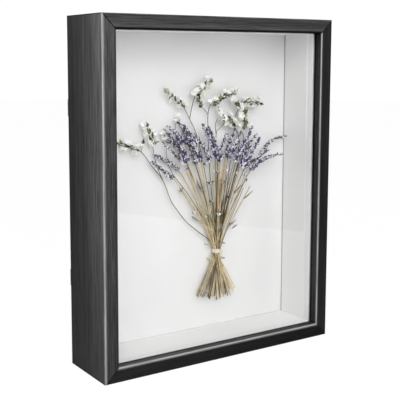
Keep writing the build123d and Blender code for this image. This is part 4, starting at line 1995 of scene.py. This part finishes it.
@dataclass
class Studio:
    """The white room: sky, floor, lights, a grey board that the glass mirrors, and the camera.

    Attributes:
        floor_height: Where the floor is along Z.
        sky: Brightness of the white surround.
        ambient: Brightness of the surround as a light.
        mirrored: Brightness of the surround in reflections.
        floor_glow: How far the floor melts into the backdrop as the camera sees it.
        camera_place: Where the camera stands.
        camera_yaw: Its turn from straight ahead towards the right, in degrees.
        camera_tilt: Its tilt down, in degrees.
        lens: Focal length in millimetres on a 36 mm sensor.
        shift: Lens shift to the right and up.
        board_line: Where the grey board starts on the floor, and a place that it runs towards.
        board_size: The board's length and height.
        board_glow: The board's least and greatest brightness.
        floor_radius: The floor's radius.
        floor_depth: Its thickness.
        floor_gap: How far it lies below the object's foot.
    """

    floor_height: float
    sky: float = 1.02
    ambient: float = 0.04
    mirrored: float = 0.75
    floor_glow: float = 0.965
    camera_place: tuple[float, float, float] = (-0.537, -0.776, 0.333)
    camera_yaw: float = 32.8
    camera_tilt: float = 6.86
    lens: float = 75.67
    shift: Place = (0.0546, -0.1)
    board_line: tuple[Place, Place] = ((0.535, -0.494), (0.331, -0.857))
    board_size: Place = (1.6, 1.3)
    board_glow: Place = (0.05, 0.09)
    floor_radius: float = 6.0
    floor_depth: float = 0.02
    floor_gap: float = 0.0004
    lights: tuple[Softbox, ...] = (
        Softbox("front_softbox", (-0.45, -1.90, 1.05), (0.0, 0.0, 0.16), 1.2, 21.5),
        Softbox("overhead_softbox", (-0.40, -1.10, 1.90), (0.0, 0.0, 0.16), 1.0, 6.3),
        Softbox("near_softbox", (-0.75, -0.80, 0.95), (0.0, 0.0, 0.19), 0.6, 4.6),
        Softbox("side_softbox", (-0.58, 0.03, 0.68), (-0.15, 0.0, 0.24), 0.3, 2.4),
        Softbox("fill_softbox", (0.90, -1.10, 0.50), (0.0, 0.0, 0.19), 0.8, 3.8),
    )

    def surround(self) -> None:
        """Makes the sky: pure white as a backdrop, softer as a light."""
        world = bpy.data.worlds.new("white_room")
        world.use_nodes = True
        tree = world.node_tree
        tree.nodes.clear()
        ray = tree.nodes.new("ShaderNodeLightPath")
        in_gloss, to_camera = (tree.nodes.new("ShaderNodeMix") for _ in range(2))
        for mix, kind, brightness in (
            (in_gloss, "Is Glossy Ray", self.mirrored),
            (to_camera, "Is Camera Ray", self.sky),
        ):
            mix.data_type = "FLOAT"
            tree.links.new(ray.outputs[kind], mix.inputs[0])
            mix.inputs[3].default_value = brightness
        in_gloss.inputs[2].default_value = self.ambient
        tree.links.new(in_gloss.outputs[0], to_camera.inputs[2])
        glow = tree.nodes.new("ShaderNodeBackground")
        glow.inputs["Color"].default_value = (1.0, 1.0, 1.0, 1.0)
        tree.links.new(to_camera.outputs[0], glow.inputs["Strength"])
        output = tree.nodes.new("ShaderNodeOutputWorld")
        tree.links.new(glow.outputs[0], output.inputs["Surface"])
        bpy.context.scene.world = world

    def floor(self) -> None:
        """Lays a wide pale floor with a faint mottle, bright enough to melt into the backdrop."""
        tree = ShaderTree("studio_floor")
        mottle = tree.noise(tree.place(), 3.0, 3.0)
        colour = tree.blend(mottle, (0.93, 0.93, 0.93), (0.97, 0.97, 0.97))
        paint = tree.principled(
            Base_Color=colour,
            Roughness=tree.rough(mottle, 0.85, 0.95),
            Specular_IOR_Level=0.2,
        )
        glow = tree.node("ShaderNodeEmission", Color=(1.0, 1.0, 1.0), Strength=self.sky).outputs[0]
        seen = tree.node("ShaderNodeLightPath").outputs["Is Camera Ray"]
        finish = tree.finish(tree.mix_shaders(tree.times(seen, self.floor_glow), paint, glow))
        profile = np.array([[self.floor_radius, -self.floor_depth], [self.floor_radius, 0.0]])
        surface = skin_rings(turned_rings(profile, 48)[None])
        surface.points[:, 2] += self.floor_height - self.floor_gap
        self.stage_piece("studio_floor", surface, finish)

    def mirror_board(self) -> None:
        """Stands a grey board on the floor to the right, which only reflections see."""
        tree = ShaderTree("grey_board")
        mottle = tree.noise(tree.place(), 2.0, 2.0)
        brightness = tree.span(mottle, 0.2, 0.8, *self.board_glow)
        glow = tree.node("ShaderNodeEmission", Strength=brightness).outputs[0]
        near, far = (np.array(end) for end in self.board_line)
        run = (far - near) / np.linalg.norm(far - near)
        corners = np.array([near, near + run * self.board_size[0]])
        heights = np.array([self.floor_height, self.floor_height + self.board_size[1]])
        points = np.array(
            [
                [corners[0][0], corners[0][1], heights[0]],
                [corners[1][0], corners[1][1], heights[0]],
                [corners[1][0], corners[1][1], heights[1]],
                [corners[0][0], corners[0][1], heights[1]],
            ]
        )
        surface = Surface(points, np.array([[0, 1, 2, 3]]), np.zeros((0, 3), int))
        board = self.stage_piece("grey_board", surface, tree.finish(glow))
        board.visible_camera = False
        board.visible_diffuse = False
        board.visible_shadow = False
        board.visible_transmission = False

    def stage_piece(
        self, name: str, surface: Surface, finish: bpy.types.Material
    ) -> bpy.types.Object:
        """Adds a piece of the studio, which isn't part of the object.

        Args:
            name: Its name.
            surface: Its shape.
            finish: Its material.

        Returns:
            The object.
        """
        mesh = bpy.data.meshes.new(name)
        faces = [*surface.quads.tolist(), *surface.triangles.tolist()]
        mesh.from_pydata(surface.points.tolist(), [], faces)
        mesh.materials.append(finish)
        piece = bpy.data.objects.new(name, mesh)
        bpy.context.scene.collection.objects.link(piece)
        return piece

    def camera(self) -> None:
        """Sets up the camera in front, to the left and a little above the middle."""
        view = bpy.data.cameras.new("camera")
        view.lens = self.lens
        view.sensor_width = 36.0
        view.shift_x, view.shift_y = self.shift
        view.clip_start = 0.01
        seat = bpy.data.objects.new("camera", view)
        seat.location = self.camera_place
        seat.rotation_euler = (
            math.radians(90.0 - self.camera_tilt),
            0.0,
            -math.radians(self.camera_yaw),
        )
        bpy.context.scene.collection.objects.link(seat)
        bpy.context.scene.camera = seat

    def build(self) -> None:
        """Builds the room."""
        self.surround()
        self.floor()
        self.mirror_board()
        for light in self.lights:
            light.build()
        self.camera()
        bpy.context.scene.view_settings.view_transform = "Standard"
        log.info("studio: %d lights, floor at %.4f m", len(self.lights), self.floor_height)


def main() -> None:
    """Builds the shadow box's pieces in order."""
    logging.basicConfig(level=logging.INFO, format="%(name)s: %(message)s")
    card_face = float(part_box("backing_card")[0].y)
    finisher = CadFinisher(frame["nodes"])
    Moulding().dress(finisher)
    Lining().dress(finisher)
    Hardware().dress(finisher)
    Lavender(card_face).build()
    Statice(card_face).build()
    TwineTie(card_face).build()
    Studio(float(CAD_BOX[0][2])).build()


if __name__ == "__main__":
    main()
